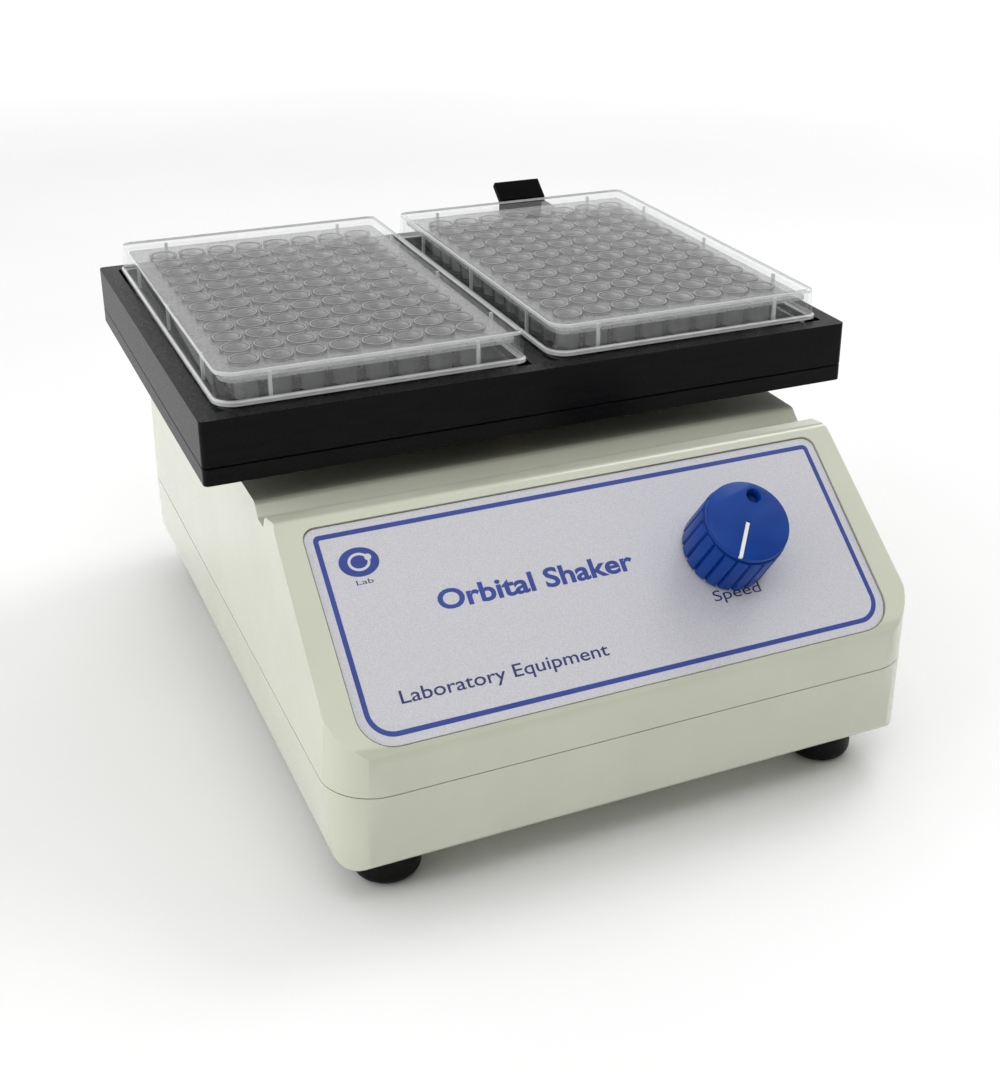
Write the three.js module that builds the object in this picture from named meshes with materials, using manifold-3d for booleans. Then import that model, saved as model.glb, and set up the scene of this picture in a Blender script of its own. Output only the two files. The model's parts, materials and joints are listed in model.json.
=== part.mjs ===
// Benchtop orbital shaker for two 96-well microplates.
// Millimetres, +Z up. The origin is on the bench, under the middle of the machine.
// -Y is the front (sloped control panel), +X is the operator's right.

import * as THREE from 'three';
import { mergeVertices } from 'three/addons/utils/BufferGeometryUtils.js';
import Module from 'manifold-3d';

const wasm = await Module();
wasm.setup();

// ---------------------------------------------------------------- driving dimensions

const GAP = 0.3; // between pieces that touch
const PAST = 1; // how far a cutting solid runs past the surface that it cuts
const HALF = 0.5;

// housing
const HOUSING_HALF_WIDTH = 83.25;
const HOUSING_TOP_HALF_WIDTH = 81.4;
const HOUSING_FRONT = -108;
const HOUSING_REAR = 106.4;
const HOUSING_CORNER = 14;
const HOUSING_BOTTOM = 13.7;
const SEAM = 35.6;
const DECK = 85;
const WALL = 2.9;
const DECK_EDGE_ROUND = 2.4;
const TRAY_FLOOR = HOUSING_BOTTOM + WALL;
const TRAY_BOTTOM_ROUND = 3.5;

// groove between the deck and the control panel's frame
const DECK_FRONT = -40.2;
const GROOVE_REAR = -43.4;
const GROOVE_FRONT = -48.4;
const GROOVE_FLOOR = 81.6;
const RIDGE_REAR = -50.2;
const RIDGE_FRONT = -57.2;
const RIDGE_HEIGHT = 86.4;

// sloped control panel: origin at the middle of the label's lower edge
const PANEL_Y = -105.76;
const PANEL_Z = 47.49;
const PANEL_TILT = THREE.MathUtils.degToRad(38.28);
const LABEL_WIDTH = 149.6;
const LABEL_LENGTH = 59.05;
const LABEL_THICKNESS = 0.5;
const LABEL_TOP_RADIUS = 3.5;
const LABEL_BOTTOM_RADIUS = 9;
const BEZEL_RISE = 0.6; // frame surface above the label surface

// speed knob, in the panel's own frame
const KNOB_X = 35;
const KNOB_UP = 31;
const KNOB_RADIUS = 12.1;
const KNOB_TOP_RADIUS = 11.5;
const KNOB_BOTTOM = 0.6;
const KNOB_CAP = 15.6;
const KNOB_TOP = 17.6;
const KNOB_FLUTES = 18;
const KNOB_POINTER_ANGLE = THREE.MathUtils.degToRad(-124);
const BUSHING_RADIUS = 3.5; // threaded neck of the potentiometer

// motion
const ORBIT_RADIUS = 1.5;
const DRIVE_X = 0;
const DRIVE_Y = 23.8;
const IDLERS = [
  { name: 'front', x: 0, y: -20 },
  { name: 'left', x: -48, y: 66 },
  { name: 'right', x: 48, y: 66 },
];
const PIN_RADIUS = 3; // idler pins
const HUB_RADIUS = 15; // bearing hub under the platform
const DECK_HOLE_RADIUS = HUB_RADIUS + ORBIT_RADIUS + 2;
const PIN_HOLE_RADIUS = PIN_RADIUS + ORBIT_RADIUS + 2;

// platform
const PLATFORM_Y = DRIVE_Y + ORBIT_RADIUS;
const PLATFORM_WIDTH = 189.4;
const PLATFORM_DEPTH = 139.1;
const PLATFORM_BOTTOM = 93.2;
const PLATFORM_PLATE_TOP = 97.9;
const PLATFORM_TOP = 110.8;
const POCKET_FLOOR = 104;
const POCKET_WIDTH = 86.7;
const POCKET_DEPTH = 129;

// microplates (standard footprint) and their lids
const PLATE_WIDTH = 85.48;
const PLATE_DEPTH = 127.76;
const PLATE_HEIGHT = 14.35;
const PLATE_CENTRE_X = 46.22;
const PLATE_BOTTOM = POCKET_FLOOR + 0.1;
const PLATE_SKIRT = 2.4;
const PLATE_INSET = 1.9;
const WELL_PITCH = 9;
const WELL_COLUMNS = 8;
const WELL_ROWS = 12;
const WELL_RADIUS = 3.45;
const WELL_DEPTH = 10.9;
const WELL_SIDES = 6;
const LID_BOTTOM = 111.1;
const LID_TOP = 120;
const LID_INSET = 0.55;
const LID_WALL = 1;

// chassis
const CHASSIS_BOTTOM = 62.3;
const CHASSIS_TOP = 65.3;
const CHASSIS_HALF_WIDTH = 62;
const CHASSIS_FRONT = -36;
const CHASSIS_REAR = 82;
const POSTS = [[-56, -30], [56, -30], [-56, 76], [56, 76]];

// fixings
const FOOT_RADIUS = 9;
const FEET = [
  { name: 'front_left', x: -65.5, y: -89.2 },
  { name: 'front_right', x: 65.5, y: -89.2 },
  { name: 'rear_left', x: -65.5, y: 87.6 },
  { name: 'rear_right', x: 65.5, y: 87.6 },
];
const HOUSING_SCREWS = [
  { name: 'front_left', x: -72, y: -34 },
  { name: 'front_right', x: 72, y: -34 },
  { name: 'rear_left', x: -72, y: 60 },
  { name: 'rear_right', x: 72, y: 60 },
];
const SCREW_RADIUS = 1.5;
const SCREW_HOLE = SCREW_RADIUS + GAP;
const SCREW_SIDES = 8;
const SCREW_HEAD_HEIGHT = 2.6;
const FOOT_SCREW_HEAD = 3.8;
const HOUSING_SCREW_HEAD = 3.4;
const ROUND = 24;

// power switch in the right side wall, and power inlet in the rear wall
const SWITCH_Y = -68.2;
const SWITCH_Z = 56;
const SWITCH_LENGTH = 21;
const SWITCH_HEIGHT = 15;
const SWITCH_FACE = HOUSING_HALF_WIDTH - 0.5;
const INLET_X = -40;
const INLET_Z = 52;
const INLET_HALF_WIDTH = 13.8; // cut-out in the rear wall
const INLET_HALF_HEIGHT = 9.8;

// rear clamp on the platform
const CLAMP_X = 55;
const CLAMP_PIVOT_Y = 99.6;
const CLAMP_PIVOT_Z = 101;
const CLAMP_WIDTH = 17;

// ---------------------------------------------------------------- materials

const material = (color, roughness, metalness = 0, opacity = 1) =>
  new THREE.MeshStandardMaterial({ color, roughness, metalness, opacity, transparent: opacity < 1 });

const housingPlastic = material(0xd9d8c8, 0.35);
const labelFilm = material(0xcfd0d3, 0.5);
const knobPlastic = material(0x1d3f94, 0.4);
const pointerWhite = material(0xf2f2ee, 0.5);
const blackPlate = material(0x17181a, 0.6);
const blackPlastic = material(0x101113, 0.55);
const rubber = material(0x0b0b0c, 0.8);
const clearPlastic = material(0xdfe4e4, 0.08, 0, 0.35);
const steel = material(0xb9bcc0, 0.3, 1);
const zincSteel = material(0xc4c8c4, 0.4, 1);
const bronze = material(0xa9793c, 0.4, 1);
const aluminium = material(0xc8cacc, 0.4, 1);
const boardGreen = material(0x1f6b3a, 0.6);
const transformerIron = material(0x5a5550, 0.7, 0.6);

// ---------------------------------------------------------------- solids

const X_AXIS = new THREE.Vector3(1, 0, 0);
const Y_AXIS = new THREE.Vector3(0, 1, 0);
const Z_AXIS = new THREE.Vector3(0, 0, 1);

/** Position-only indexed copy with shared corners merged and no collapsed faces. */
function weld(geometry) {
  const bare = geometry.clone();
  bare.deleteAttribute('normal');
  bare.deleteAttribute('uv');
  const merged = mergeVertices(bare, 1e-4);
  const index = merged.index.array;
  const kept = [];
  for (let i = 0; i < index.length; i += 3) {
    const [a, b, c] = [index[i], index[i + 1], index[i + 2]];
    if (a !== b && b !== c && c !== a) kept.push(a, b, c);
  }
  merged.setIndex(kept);
  return merged;
}

/** Volume with its sign: negative when the faces point inwards. */
function signedVolume(geometry) {
  const p = geometry.attributes.position;
  const index = geometry.index.array;
  const corners = [new THREE.Vector3(), new THREE.Vector3(), new THREE.Vector3()];
  let sum = 0;
  for (let i = 0; i < index.length; i += 3) {
    corners.forEach((corner, k) => corner.fromBufferAttribute(p, index[i + k]));
    sum += corners[0].dot(corners[1].clone().cross(corners[2]));
  }
  return sum / 6;
}

function toSolid(geometry) {
  const welded = weld(geometry);
  const triVerts = new Uint32Array(welded.index.array);
  if (signedVolume(welded) < 0) triVerts.reverse();
  const vertProperties = new Float32Array(welded.attributes.position.array);
  return new wasm.Manifold(new wasm.Mesh({ numProp: 3, vertProperties, triVerts }));
}

function toGeometry(solid) {
  const mesh = solid.getMesh();
  const geometry = new THREE.BufferGeometry();
  geometry.setAttribute('position', new THREE.BufferAttribute(mesh.vertProperties, 3));
  geometry.setIndex(new THREE.BufferAttribute(mesh.triVerts, 1));
  geometry.computeVertexNormals();
  return geometry;
}

const join = (first, ...others) => others.reduce((sum, item) => sum.add(item), first);
const cut = (first, ...others) => others.reduce((rest, item) => rest.subtract(item), first);

/** Box between two corners. */
function box(x0, x1, y0, y1, z0, z1) {
  const geometry = new THREE.BoxGeometry(x1 - x0, y1 - y0, z1 - z0);
  geometry.translate((x0 + x1) * HALF, (y0 + y1) * HALF, (z0 + z1) * HALF);
  return toSolid(geometry);
}

/** Upright round bar. */
function rod(x, y, radius, z0, z1, sides = ROUND) {
  const geometry = new THREE.CylinderGeometry(radius, radius, z1 - z0, sides);
  geometry.rotateX(Math.PI * HALF);
  geometry.translate(x, y, (z0 + z1) * HALF);
  return toSolid(geometry);
}

/** Round bar along X. */
function rodX(y, z, radius, x0, x1, sides = SCREW_SIDES) {
  const geometry = new THREE.CylinderGeometry(radius, radius, x1 - x0, sides);
  geometry.rotateZ(Math.PI * HALF);
  geometry.translate((x0 + x1) * HALF, y, z);
  return toSolid(geometry);
}

/** Outline in plan, extruded upwards. */
function extrudeUp(shape, z0, z1, curveSegments = 6) {
  const geometry = new THREE.ExtrudeGeometry(shape, {
    depth: z1 - z0, bevelEnabled: false, curveSegments,
  });
  geometry.translate(0, 0, z0);
  return toSolid(geometry);
}

/** Outline in the side view (Y across, Z up), extruded along X. */
function extrudeAlongX(shape, x0, x1, curveSegments = 4) {
  const geometry = new THREE.ExtrudeGeometry(shape, {
    depth: x1 - x0, bevelEnabled: false, curveSegments,
  });
  geometry.translate(0, 0, x0);
  geometry.applyMatrix4(new THREE.Matrix4().makeBasis(Y_AXIS, Z_AXIS, X_AXIS));
  return toSolid(geometry);
}

/** Outline in the front view (X across, Z up), extruded along Y. */
function extrudeAlongY(shape, y0, y1, curveSegments = 4) {
  const geometry = new THREE.ExtrudeGeometry(shape, {
    depth: y1 - y0, bevelEnabled: false, curveSegments,
  });
  geometry.translate(0, 0, -y1);
  const back = Y_AXIS.clone().negate();
  geometry.applyMatrix4(new THREE.Matrix4().makeBasis(X_AXIS, Z_AXIS, back));
  return toSolid(geometry);
}

/** Rectangle with one radius on its lower corners and one on its upper corners. */
function roundedRectangle(x0, x1, y0, y1, lower, upper = lower) {
  const shape = new THREE.Shape();
  const quarter = Math.PI * HALF;
  shape.absarc(x1 - lower, y0 + lower, lower, -quarter, 0);
  shape.absarc(x1 - upper, y1 - upper, upper, 0, quarter);
  shape.absarc(x0 + upper, y1 - upper, upper, quarter, Math.PI);
  shape.absarc(x0 + lower, y0 + lower, lower, Math.PI, 3 * quarter);
  shape.closePath();
  return shape;
}

const polygon = (points) => new THREE.Shape(points.map(([x, y]) => new THREE.Vector2(x, y)));

/** Closed outline through corners [x, y, radius], each corner rounded by a curve. */
function roundedPolygon(corners) {
  const shape = new THREE.Shape();
  corners.forEach(([x, y, radius], i) => {
    const at = new THREE.Vector2(x, y);
    const before = new THREE.Vector2(...corners.at(i - 1)).sub(at).setLength(radius).add(at);
    const next = corners[(i + 1) % corners.length];
    const after = new THREE.Vector2(...next).sub(at).setLength(radius).add(at);
    if (i === 0) shape.moveTo(before.x, before.y);
    else shape.lineTo(before.x, before.y);
    if (radius > 0) shape.quadraticCurveTo(x, y, after.x, after.y);
  });
  shape.closePath();
  return shape;
}

// ---------------------------------------------------------------- scene graph

const shaker = new THREE.Group();

function add(name, solid, look, parent = shaker) {
  const mesh = new THREE.Mesh(toGeometry(solid), look);
  mesh.name = name;
  parent.add(mesh);
  return mesh;
}

const panel = new THREE.Group();
panel.position.set(0, PANEL_Y, PANEL_Z);
panel.rotation.x = PANEL_TILT;
panel.updateMatrixWorld();
shaker.add(panel);

/** Moves a solid from the panel's frame to the machine's frame. */
const fromPanel = (solid) => solid.transform(panel.matrixWorld.elements);

// ---------------------------------------------------------------- housing

/** Height of the panel frame's surface, or a surface a depth below it, at a given Y. */
function slopeHeight(y, depth = 0) {
  const rise = (BEZEL_RISE - depth) / Math.cos(PANEL_TILT);
  return PANEL_Z + (y - PANEL_Y) * Math.tan(PANEL_TILT) + rise;
}

function slopeY(z, depth = 0) {
  return PANEL_Y + (z - slopeHeight(PANEL_Y, depth)) / Math.tan(PANEL_TILT);
}

/** Plan outline of the housing, a distance inside its outer face. */
const housingPlan = (inset) => roundedRectangle(
  -HOUSING_HALF_WIDTH + inset, HOUSING_HALF_WIDTH - inset,
  HOUSING_FRONT + inset, HOUSING_REAR - inset, HOUSING_CORNER - inset,
);

/** Front view of the cover: side walls lean in slightly and the deck edges are rounded. */
const coverFrontView = (inset, top) => roundedPolygon([
  [-HOUSING_HALF_WIDTH + inset, SEAM - WALL, 0],
  [HOUSING_HALF_WIDTH - inset, SEAM - WALL, 0],
  [HOUSING_TOP_HALF_WIDTH - inset, top, DECK_EDGE_ROUND],
  [-HOUSING_TOP_HALF_WIDTH + inset, top, DECK_EDGE_ROUND],
]);

const outerSideView = roundedPolygon([
  [HOUSING_REAR, SEAM, 0],
  [HOUSING_REAR - 1, DECK, 6],
  [DECK_FRONT, DECK, 1],
  [GROOVE_REAR, GROOVE_FLOOR, 0.6],
  [GROOVE_FRONT, GROOVE_FLOOR, 0.4],
  [RIDGE_REAR, DECK + 0.2, 0.8],
  [RIDGE_FRONT, RIDGE_HEIGHT, 1.2],
  [HOUSING_FRONT + 0.3, slopeHeight(HOUSING_FRONT + 0.3), 4],
  [HOUSING_FRONT, SEAM, 0],
]);

const SLOPE_WALL = 3.2;
const GROOVE_CEILING = GROOVE_FLOOR - WALL;
const innerFront = HOUSING_FRONT + WALL;
const innerSideView = polygon([
  [HOUSING_REAR - WALL, SEAM - 1],
  [HOUSING_REAR - WALL, DECK - WALL],
  [DECK_FRONT + WALL, DECK - WALL],
  [DECK_FRONT + WALL, GROOVE_CEILING],
  [slopeY(GROOVE_CEILING, SLOPE_WALL), GROOVE_CEILING],
  [innerFront, slopeHeight(innerFront, SLOPE_WALL)],
  [innerFront, SEAM - 1],
]);

const SWITCH_CUT = 0.9; // cut-out edge inside the switch flange's edge
const BOSS_RADIUS = 4;
const BOSS_BOTTOM = 24;

function makeTopCover() {
  const outer = extrudeAlongX(outerSideView, -HOUSING_HALF_WIDTH, HOUSING_HALF_WIDTH)
    .intersect(extrudeUp(housingPlan(0), SEAM, RIDGE_HEIGHT + 1))
    .intersect(extrudeAlongY(coverFrontView(0, RIDGE_HEIGHT + 0.6), HOUSING_FRONT, HOUSING_REAR));
  const inner = extrudeAlongX(innerSideView, -HOUSING_HALF_WIDTH, HOUSING_HALF_WIDTH)
    .intersect(extrudeUp(housingPlan(WALL), SEAM - 1, DECK))
    .intersect(extrudeAlongY(coverFrontView(WALL, DECK - WALL), HOUSING_FRONT, HOUSING_REAR));
  const column = (x, y) => rod(x, y, BOSS_RADIUS, BOSS_BOTTOM, DECK - 1, 16);
  const envelope = extrudeAlongX(outerSideView, -HOUSING_HALF_WIDTH, HOUSING_HALF_WIDTH)
    .add(box(-HOUSING_HALF_WIDTH, HOUSING_HALF_WIDTH, HOUSING_FRONT, HOUSING_REAR, 0, SEAM + 1));
  const bosses = HOUSING_SCREWS.map(({ x, y }) => column(x, y).intersect(envelope));
  const pilots = HOUSING_SCREWS.map(({ x, y }) =>
    rod(x, y, SCREW_HOLE, BOSS_BOTTOM - 1, BOSS_BOTTOM + 14, SCREW_SIDES));
  const labelRecess = fromPanel(extrudeUp(
    roundedRectangle(
      -LABEL_WIDTH * HALF - GAP, LABEL_WIDTH * HALF + GAP, -GAP, LABEL_LENGTH + GAP,
      LABEL_BOTTOM_RADIUS, LABEL_TOP_RADIUS,
    ), -LABEL_THICKNESS - GAP, BEZEL_RISE + 4, 4));
  const knobHole = fromPanel(rod(KNOB_X, KNOB_UP, BUSHING_RADIUS + GAP, -12, 4, 16));
  const hubHole = rod(DRIVE_X, DRIVE_Y, DECK_HOLE_RADIUS, DECK - 6, DECK + 2, ROUND);
  const pinHoles = IDLERS.map(({ x, y }) => rod(x, y, PIN_HOLE_RADIUS, DECK - 6, DECK + 2, 16));
  const switchCut = box(
    HOUSING_HALF_WIDTH - 8, HOUSING_HALF_WIDTH + 2,
    SWITCH_Y - SWITCH_LENGTH * HALF + SWITCH_CUT, SWITCH_Y + SWITCH_LENGTH * HALF - SWITCH_CUT,
    SWITCH_Z - SWITCH_HEIGHT * HALF + SWITCH_CUT, SWITCH_Z + SWITCH_HEIGHT * HALF - SWITCH_CUT,
  );
  const inletCut = box(
    INLET_X - INLET_HALF_WIDTH, INLET_X + INLET_HALF_WIDTH,
    HOUSING_REAR - 8, HOUSING_REAR + 2,
    INLET_Z - INLET_HALF_HEIGHT, INLET_Z + INLET_HALF_HEIGHT,
  );
  return cut(
    join(cut(outer, inner), ...bosses),
    ...pilots, labelRecess, knobHole, hubHole, ...pinHoles, switchCut, inletCut,
  );
}

const TRAY_RIM = SEAM - GAP;
const LIP_TOP = SEAM + 3;
const LIP_INSET = WALL + GAP;
const LIP_WALL = 1.4;
const SCREW_WELL_RADIUS = 4; // recess for a housing screw's head
const SCREW_SEAT = HOUSING_BOTTOM + 6;
const WELL_WALL_RADIUS = 6;
const FOOT_BOSS_RADIUS = 5;
const FOOT_BOSS_TOP = TRAY_FLOOR + 9;

function makeBottomTray() {
  const chamfered = (inset) => roundedPolygon([
    [-HOUSING_HALF_WIDTH + inset + 1, HOUSING_BOTTOM + inset, TRAY_BOTTOM_ROUND],
    [HOUSING_HALF_WIDTH - inset - 1, HOUSING_BOTTOM + inset, TRAY_BOTTOM_ROUND],
    [HOUSING_HALF_WIDTH - inset, SEAM + 1, 0],
    [-HOUSING_HALF_WIDTH + inset, SEAM + 1, 0],
  ]);
  const sideView = (inset) => roundedPolygon([
    [HOUSING_FRONT + inset + 1, HOUSING_BOTTOM + inset, TRAY_BOTTOM_ROUND],
    [HOUSING_REAR - inset - 1, HOUSING_BOTTOM + inset, TRAY_BOTTOM_ROUND],
    [HOUSING_REAR - inset, SEAM + 1, 0],
    [HOUSING_FRONT + inset, SEAM + 1, 0],
  ]);
  const tub = (inset, top) => extrudeUp(housingPlan(inset), HOUSING_BOTTOM, top, 5)
    .intersect(extrudeAlongY(chamfered(inset), HOUSING_FRONT, HOUSING_REAR))
    .intersect(extrudeAlongX(sideView(inset), -HOUSING_HALF_WIDTH, HOUSING_HALF_WIDTH));
  const lip = cut(
    extrudeUp(housingPlan(LIP_INSET), SEAM - 6, LIP_TOP, 4),
    extrudeUp(housingPlan(LIP_INSET + LIP_WALL), SEAM - 7, LIP_TOP + 1, 4),
  );
  const ledge = cut(
    extrudeUp(housingPlan(1), SEAM - 6, SEAM - 4, 4),
    extrudeUp(housingPlan(LIP_INSET + LIP_WALL), SEAM - 7, SEAM - 3, 4),
  );
  const footBosses = FEET.map(({ x, y }) =>
    rod(x, y, FOOT_BOSS_RADIUS, TRAY_FLOOR - PAST, FOOT_BOSS_TOP, 12));
  const screwBosses = HOUSING_SCREWS.map(({ x, y }) =>
    rod(x, y, WELL_WALL_RADIUS, TRAY_FLOOR - PAST, BOSS_BOTTOM - GAP, 12));
  const footHoles = FEET.map(({ x, y }) => rod(x, y, SCREW_HOLE, 0, TRAY_FLOOR + 6, SCREW_SIDES));
  const screwHoles = HOUSING_SCREWS.flatMap(({ x, y }) => [
    rod(x, y, SCREW_HOLE, 0, BOSS_BOTTOM + PAST, SCREW_SIDES),
    rod(x, y, SCREW_WELL_RADIUS, 0, SCREW_SEAT, 12),
  ]);
  return cut(
    join(cut(tub(0, TRAY_RIM), tub(WALL, SEAM)), lip, ledge, ...footBosses, ...screwBosses),
    ...footHoles, ...screwHoles,
  );
}

/** Screw standing upright with its head at the bottom. */
const screwUp = (x, y, head, z0, z1) => join(
  rod(x, y, head, z0, z0 + SCREW_HEAD_HEIGHT, SCREW_SIDES),
  rod(x, y, SCREW_RADIUS, z0 + SCREW_HEAD_HEIGHT * HALF, z1, SCREW_SIDES),
);

/** Screw with its head at the top. */
const screwDown = (x, y, head, z1, headHeight, z0) => join(
  rod(x, y, head, z1 - headHeight, z1, SCREW_SIDES),
  rod(x, y, SCREW_RADIUS, z0, z1 - headHeight * HALF, SCREW_SIDES),
);

const FOOT_EDGE = 2.5; // radius of its lower edge
const FOOT_RECESS_RADIUS = 4.4;
const FOOT_RECESS_DEPTH = 7;

/** Round foot with a rounded lower edge and a recess for its screw's head. */
function makeFoot(x, y) {
  const top = HOUSING_BOTTOM - GAP;
  const outline = new THREE.Path();
  outline.moveTo(0, 0);
  outline.lineTo(FOOT_RADIUS - FOOT_EDGE, 0);
  outline.absarc(FOOT_RADIUS - FOOT_EDGE, FOOT_EDGE, FOOT_EDGE, -Math.PI * HALF, 0);
  outline.lineTo(FOOT_RADIUS, top);
  outline.lineTo(0, top);
  const geometry = new THREE.LatheGeometry(outline.getPoints(3), 16);
  geometry.rotateX(Math.PI * HALF);
  geometry.translate(x, y, 0);
  return cut(
    toSolid(geometry),
    rod(x, y, FOOT_RECESS_RADIUS, -PAST, FOOT_RECESS_DEPTH, 12),
    rod(x, y, SCREW_HOLE, -PAST, top + PAST, SCREW_SIDES),
  );
}

add('top_cover', makeTopCover(), housingPlastic);
add('bottom_tray', makeBottomTray(), housingPlastic);
for (const { name, x, y } of FEET) {
  add(`foot_${name}`, makeFoot(x, y), rubber);
  add(`foot_screw_${name}`, screwUp(
    x, y, FOOT_SCREW_HEAD, FOOT_RECESS_DEPTH - GAP - SCREW_HEAD_HEIGHT, TRAY_FLOOR + 5,
  ), zincSteel);
}
for (const { name, x, y } of HOUSING_SCREWS) {
  add(`housing_screw_${name}`, screwUp(
    x, y, HOUSING_SCREW_HEAD, SCREW_SEAT - GAP - SCREW_HEAD_HEIGHT, BOSS_BOTTOM + 12,
  ), zincSteel);
}

// ---------------------------------------------------------------- control panel

const labelOutline = roundedRectangle(
  -LABEL_WIDTH * HALF, LABEL_WIDTH * HALF, 0, LABEL_LENGTH, LABEL_BOTTOM_RADIUS, LABEL_TOP_RADIUS,
);
add('front_label', cut(
  extrudeUp(labelOutline, -LABEL_THICKNESS, 0, 5),
  rod(KNOB_X, KNOB_UP, BUSHING_RADIUS + GAP, -1, 1, 16),
), labelFilm, panel);

const INSIDE_OF_SLOPE = BEZEL_RISE - SLOPE_WALL - GAP;
const SHAFT_RADIUS = 2.4;
const POT_RADIUS = 8;
const POT_DEPTH = 10;
const NECK_TOP = 4.5;
const NUT_RADIUS = 5.5;
const NUT_TOP = 2.4;
const SHAFT_TOP = 13;
add('speed_potentiometer', cut(
  join(
    rod(KNOB_X, KNOB_UP, POT_RADIUS, INSIDE_OF_SLOPE - POT_DEPTH, INSIDE_OF_SLOPE, 20),
    rod(KNOB_X, KNOB_UP, BUSHING_RADIUS, INSIDE_OF_SLOPE - PAST, NECK_TOP, 16),
    box(KNOB_X - 6, KNOB_X + 6, KNOB_UP - 14, KNOB_UP, INSIDE_OF_SLOPE - 6, INSIDE_OF_SLOPE - 4),
  ),
  rod(KNOB_X, KNOB_UP, SHAFT_RADIUS + GAP, -2, NECK_TOP + PAST, 16),
), aluminium, panel);
add('potentiometer_nut', cut(
  rod(KNOB_X, KNOB_UP, NUT_RADIUS, GAP, NUT_TOP, 6),
  rod(KNOB_X, KNOB_UP, BUSHING_RADIUS + GAP, -PAST, NUT_TOP + PAST, 16),
), zincSteel, panel);
add('potentiometer_shaft',
  rod(KNOB_X, KNOB_UP, SHAFT_RADIUS, -1.5, SHAFT_TOP, 16), steel, panel);

/** Ring of flutes: shallow rounded grooves around the grip. */
function flutedOutline(radius, depth, flutes) {
  const points = [];
  const steps = flutes * 4;
  for (let i = 0; i < steps; i += 1) {
    const angle = (i / steps) * 2 * Math.PI;
    const r = radius - (i % 4 === 0 ? depth : 0);
    points.push([r * Math.cos(angle), r * Math.sin(angle)]);
  }
  return polygon(points);
}

const knobFrame = new THREE.Group();
knobFrame.position.set(KNOB_X, KNOB_UP, 0);
knobFrame.rotation.z = KNOB_POINTER_ANGLE;
panel.add(knobFrame);

const POINTER_START = 0.6;
const POINTER_END = KNOB_TOP_RADIUS - 0.2;
const POINTER_HALF_WIDTH = 0.55;
const POINTER_DEPTH = 1.2;
const DIMPLE_RADIUS = 2;
const DIMPLE_DEPTH = 5;
const DIMPLE_OFFSET = -7.8;
const FLUTE_DEPTH = 0.8;
const HOLLOW_RADIUS = 8;
const HOLLOW_TOP = 6;

function makeKnob() {
  const outline = flutedOutline(KNOB_RADIUS, FLUTE_DEPTH, KNOB_FLUTES);
  const grip = extrudeUp(outline, KNOB_BOTTOM, KNOB_CAP);
  const cap = rod(0, 0, KNOB_TOP_RADIUS, KNOB_CAP - PAST, KNOB_TOP, 36);
  return cut(
    join(grip, cap),
    rod(0, 0, HOLLOW_RADIUS, KNOB_BOTTOM - PAST, HOLLOW_TOP, 20),
    rod(0, 0, SHAFT_RADIUS + GAP, 0, SHAFT_TOP + 2 * GAP, 16),
    rod(DIMPLE_OFFSET, 0, DIMPLE_RADIUS, KNOB_TOP - DIMPLE_DEPTH, KNOB_TOP + PAST, 14),
    box(
      POINTER_START - GAP, KNOB_RADIUS + PAST,
      -POINTER_HALF_WIDTH - GAP, POINTER_HALF_WIDTH + GAP,
      KNOB_TOP - POINTER_DEPTH - GAP, KNOB_TOP + PAST,
    ),
  );
}

add('speed_knob', makeKnob(), knobPlastic, knobFrame);
add('knob_pointer', box(
  POINTER_START, POINTER_END, -POINTER_HALF_WIDTH, POINTER_HALF_WIDTH,
  KNOB_TOP - POINTER_DEPTH, KNOB_TOP - 0.1,
), pointerWhite, knobFrame);

// ---------------------------------------------------------------- power switch and inlet

const SWITCH_FLANGE = 1.9;
const ROCKER_HALF_LENGTH = 7.6;
const ROCKER_HALF_HEIGHT = 4.9;
const ROCKER_PIVOT_X = SWITCH_FACE - 3;
const ROCKER_TILT = THREE.MathUtils.degToRad(8);
const SWITCH_BODY_DEPTH = 18;
const SWITCH_WELL_DEPTH = 9;

function makeSwitchFrame() {
  const bodyLength = SWITCH_LENGTH * HALF - SWITCH_CUT - GAP;
  const bodyHeight = SWITCH_HEIGHT * HALF - SWITCH_CUT - GAP;
  const flange = roundedRectangle(
    SWITCH_Y - SWITCH_LENGTH * HALF, SWITCH_Y + SWITCH_LENGTH * HALF,
    SWITCH_Z - SWITCH_HEIGHT * HALF, SWITCH_Z + SWITCH_HEIGHT * HALF, 2,
  );
  return cut(
    join(
      extrudeAlongX(flange, SWITCH_FACE + GAP, SWITCH_FACE + SWITCH_FLANGE, 3),
      box(SWITCH_FACE - SWITCH_BODY_DEPTH, SWITCH_FACE + PAST,
        SWITCH_Y - bodyLength, SWITCH_Y + bodyLength,
        SWITCH_Z - bodyHeight, SWITCH_Z + bodyHeight),
    ),
    box(SWITCH_FACE - SWITCH_WELL_DEPTH, SWITCH_FACE + SWITCH_FLANGE + PAST,
      SWITCH_Y - ROCKER_HALF_LENGTH - 0.8, SWITCH_Y + ROCKER_HALF_LENGTH + 0.8,
      SWITCH_Z - ROCKER_HALF_HEIGHT - 0.5, SWITCH_Z + ROCKER_HALF_HEIGHT + 0.5),
  );
}
add('switch_frame', makeSwitchFrame(), housingPlastic);

const rockerFrame = new THREE.Group();
rockerFrame.position.set(ROCKER_PIVOT_X, SWITCH_Y, SWITCH_Z);
rockerFrame.rotation.z = ROCKER_TILT;
shaker.add(rockerFrame);
const rockerOutline = polygon([
  [-3, -2], [3.6, -ROCKER_HALF_LENGTH], [4.9, -ROCKER_HALF_LENGTH + 0.2], [4.1, 0],
  [4.9, ROCKER_HALF_LENGTH - 0.2], [3.6, ROCKER_HALF_LENGTH], [-3, 2],
]);
add('switch_rocker',
  extrudeUp(rockerOutline, -ROCKER_HALF_HEIGHT, ROCKER_HALF_HEIGHT), housingPlastic, rockerFrame);

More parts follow.
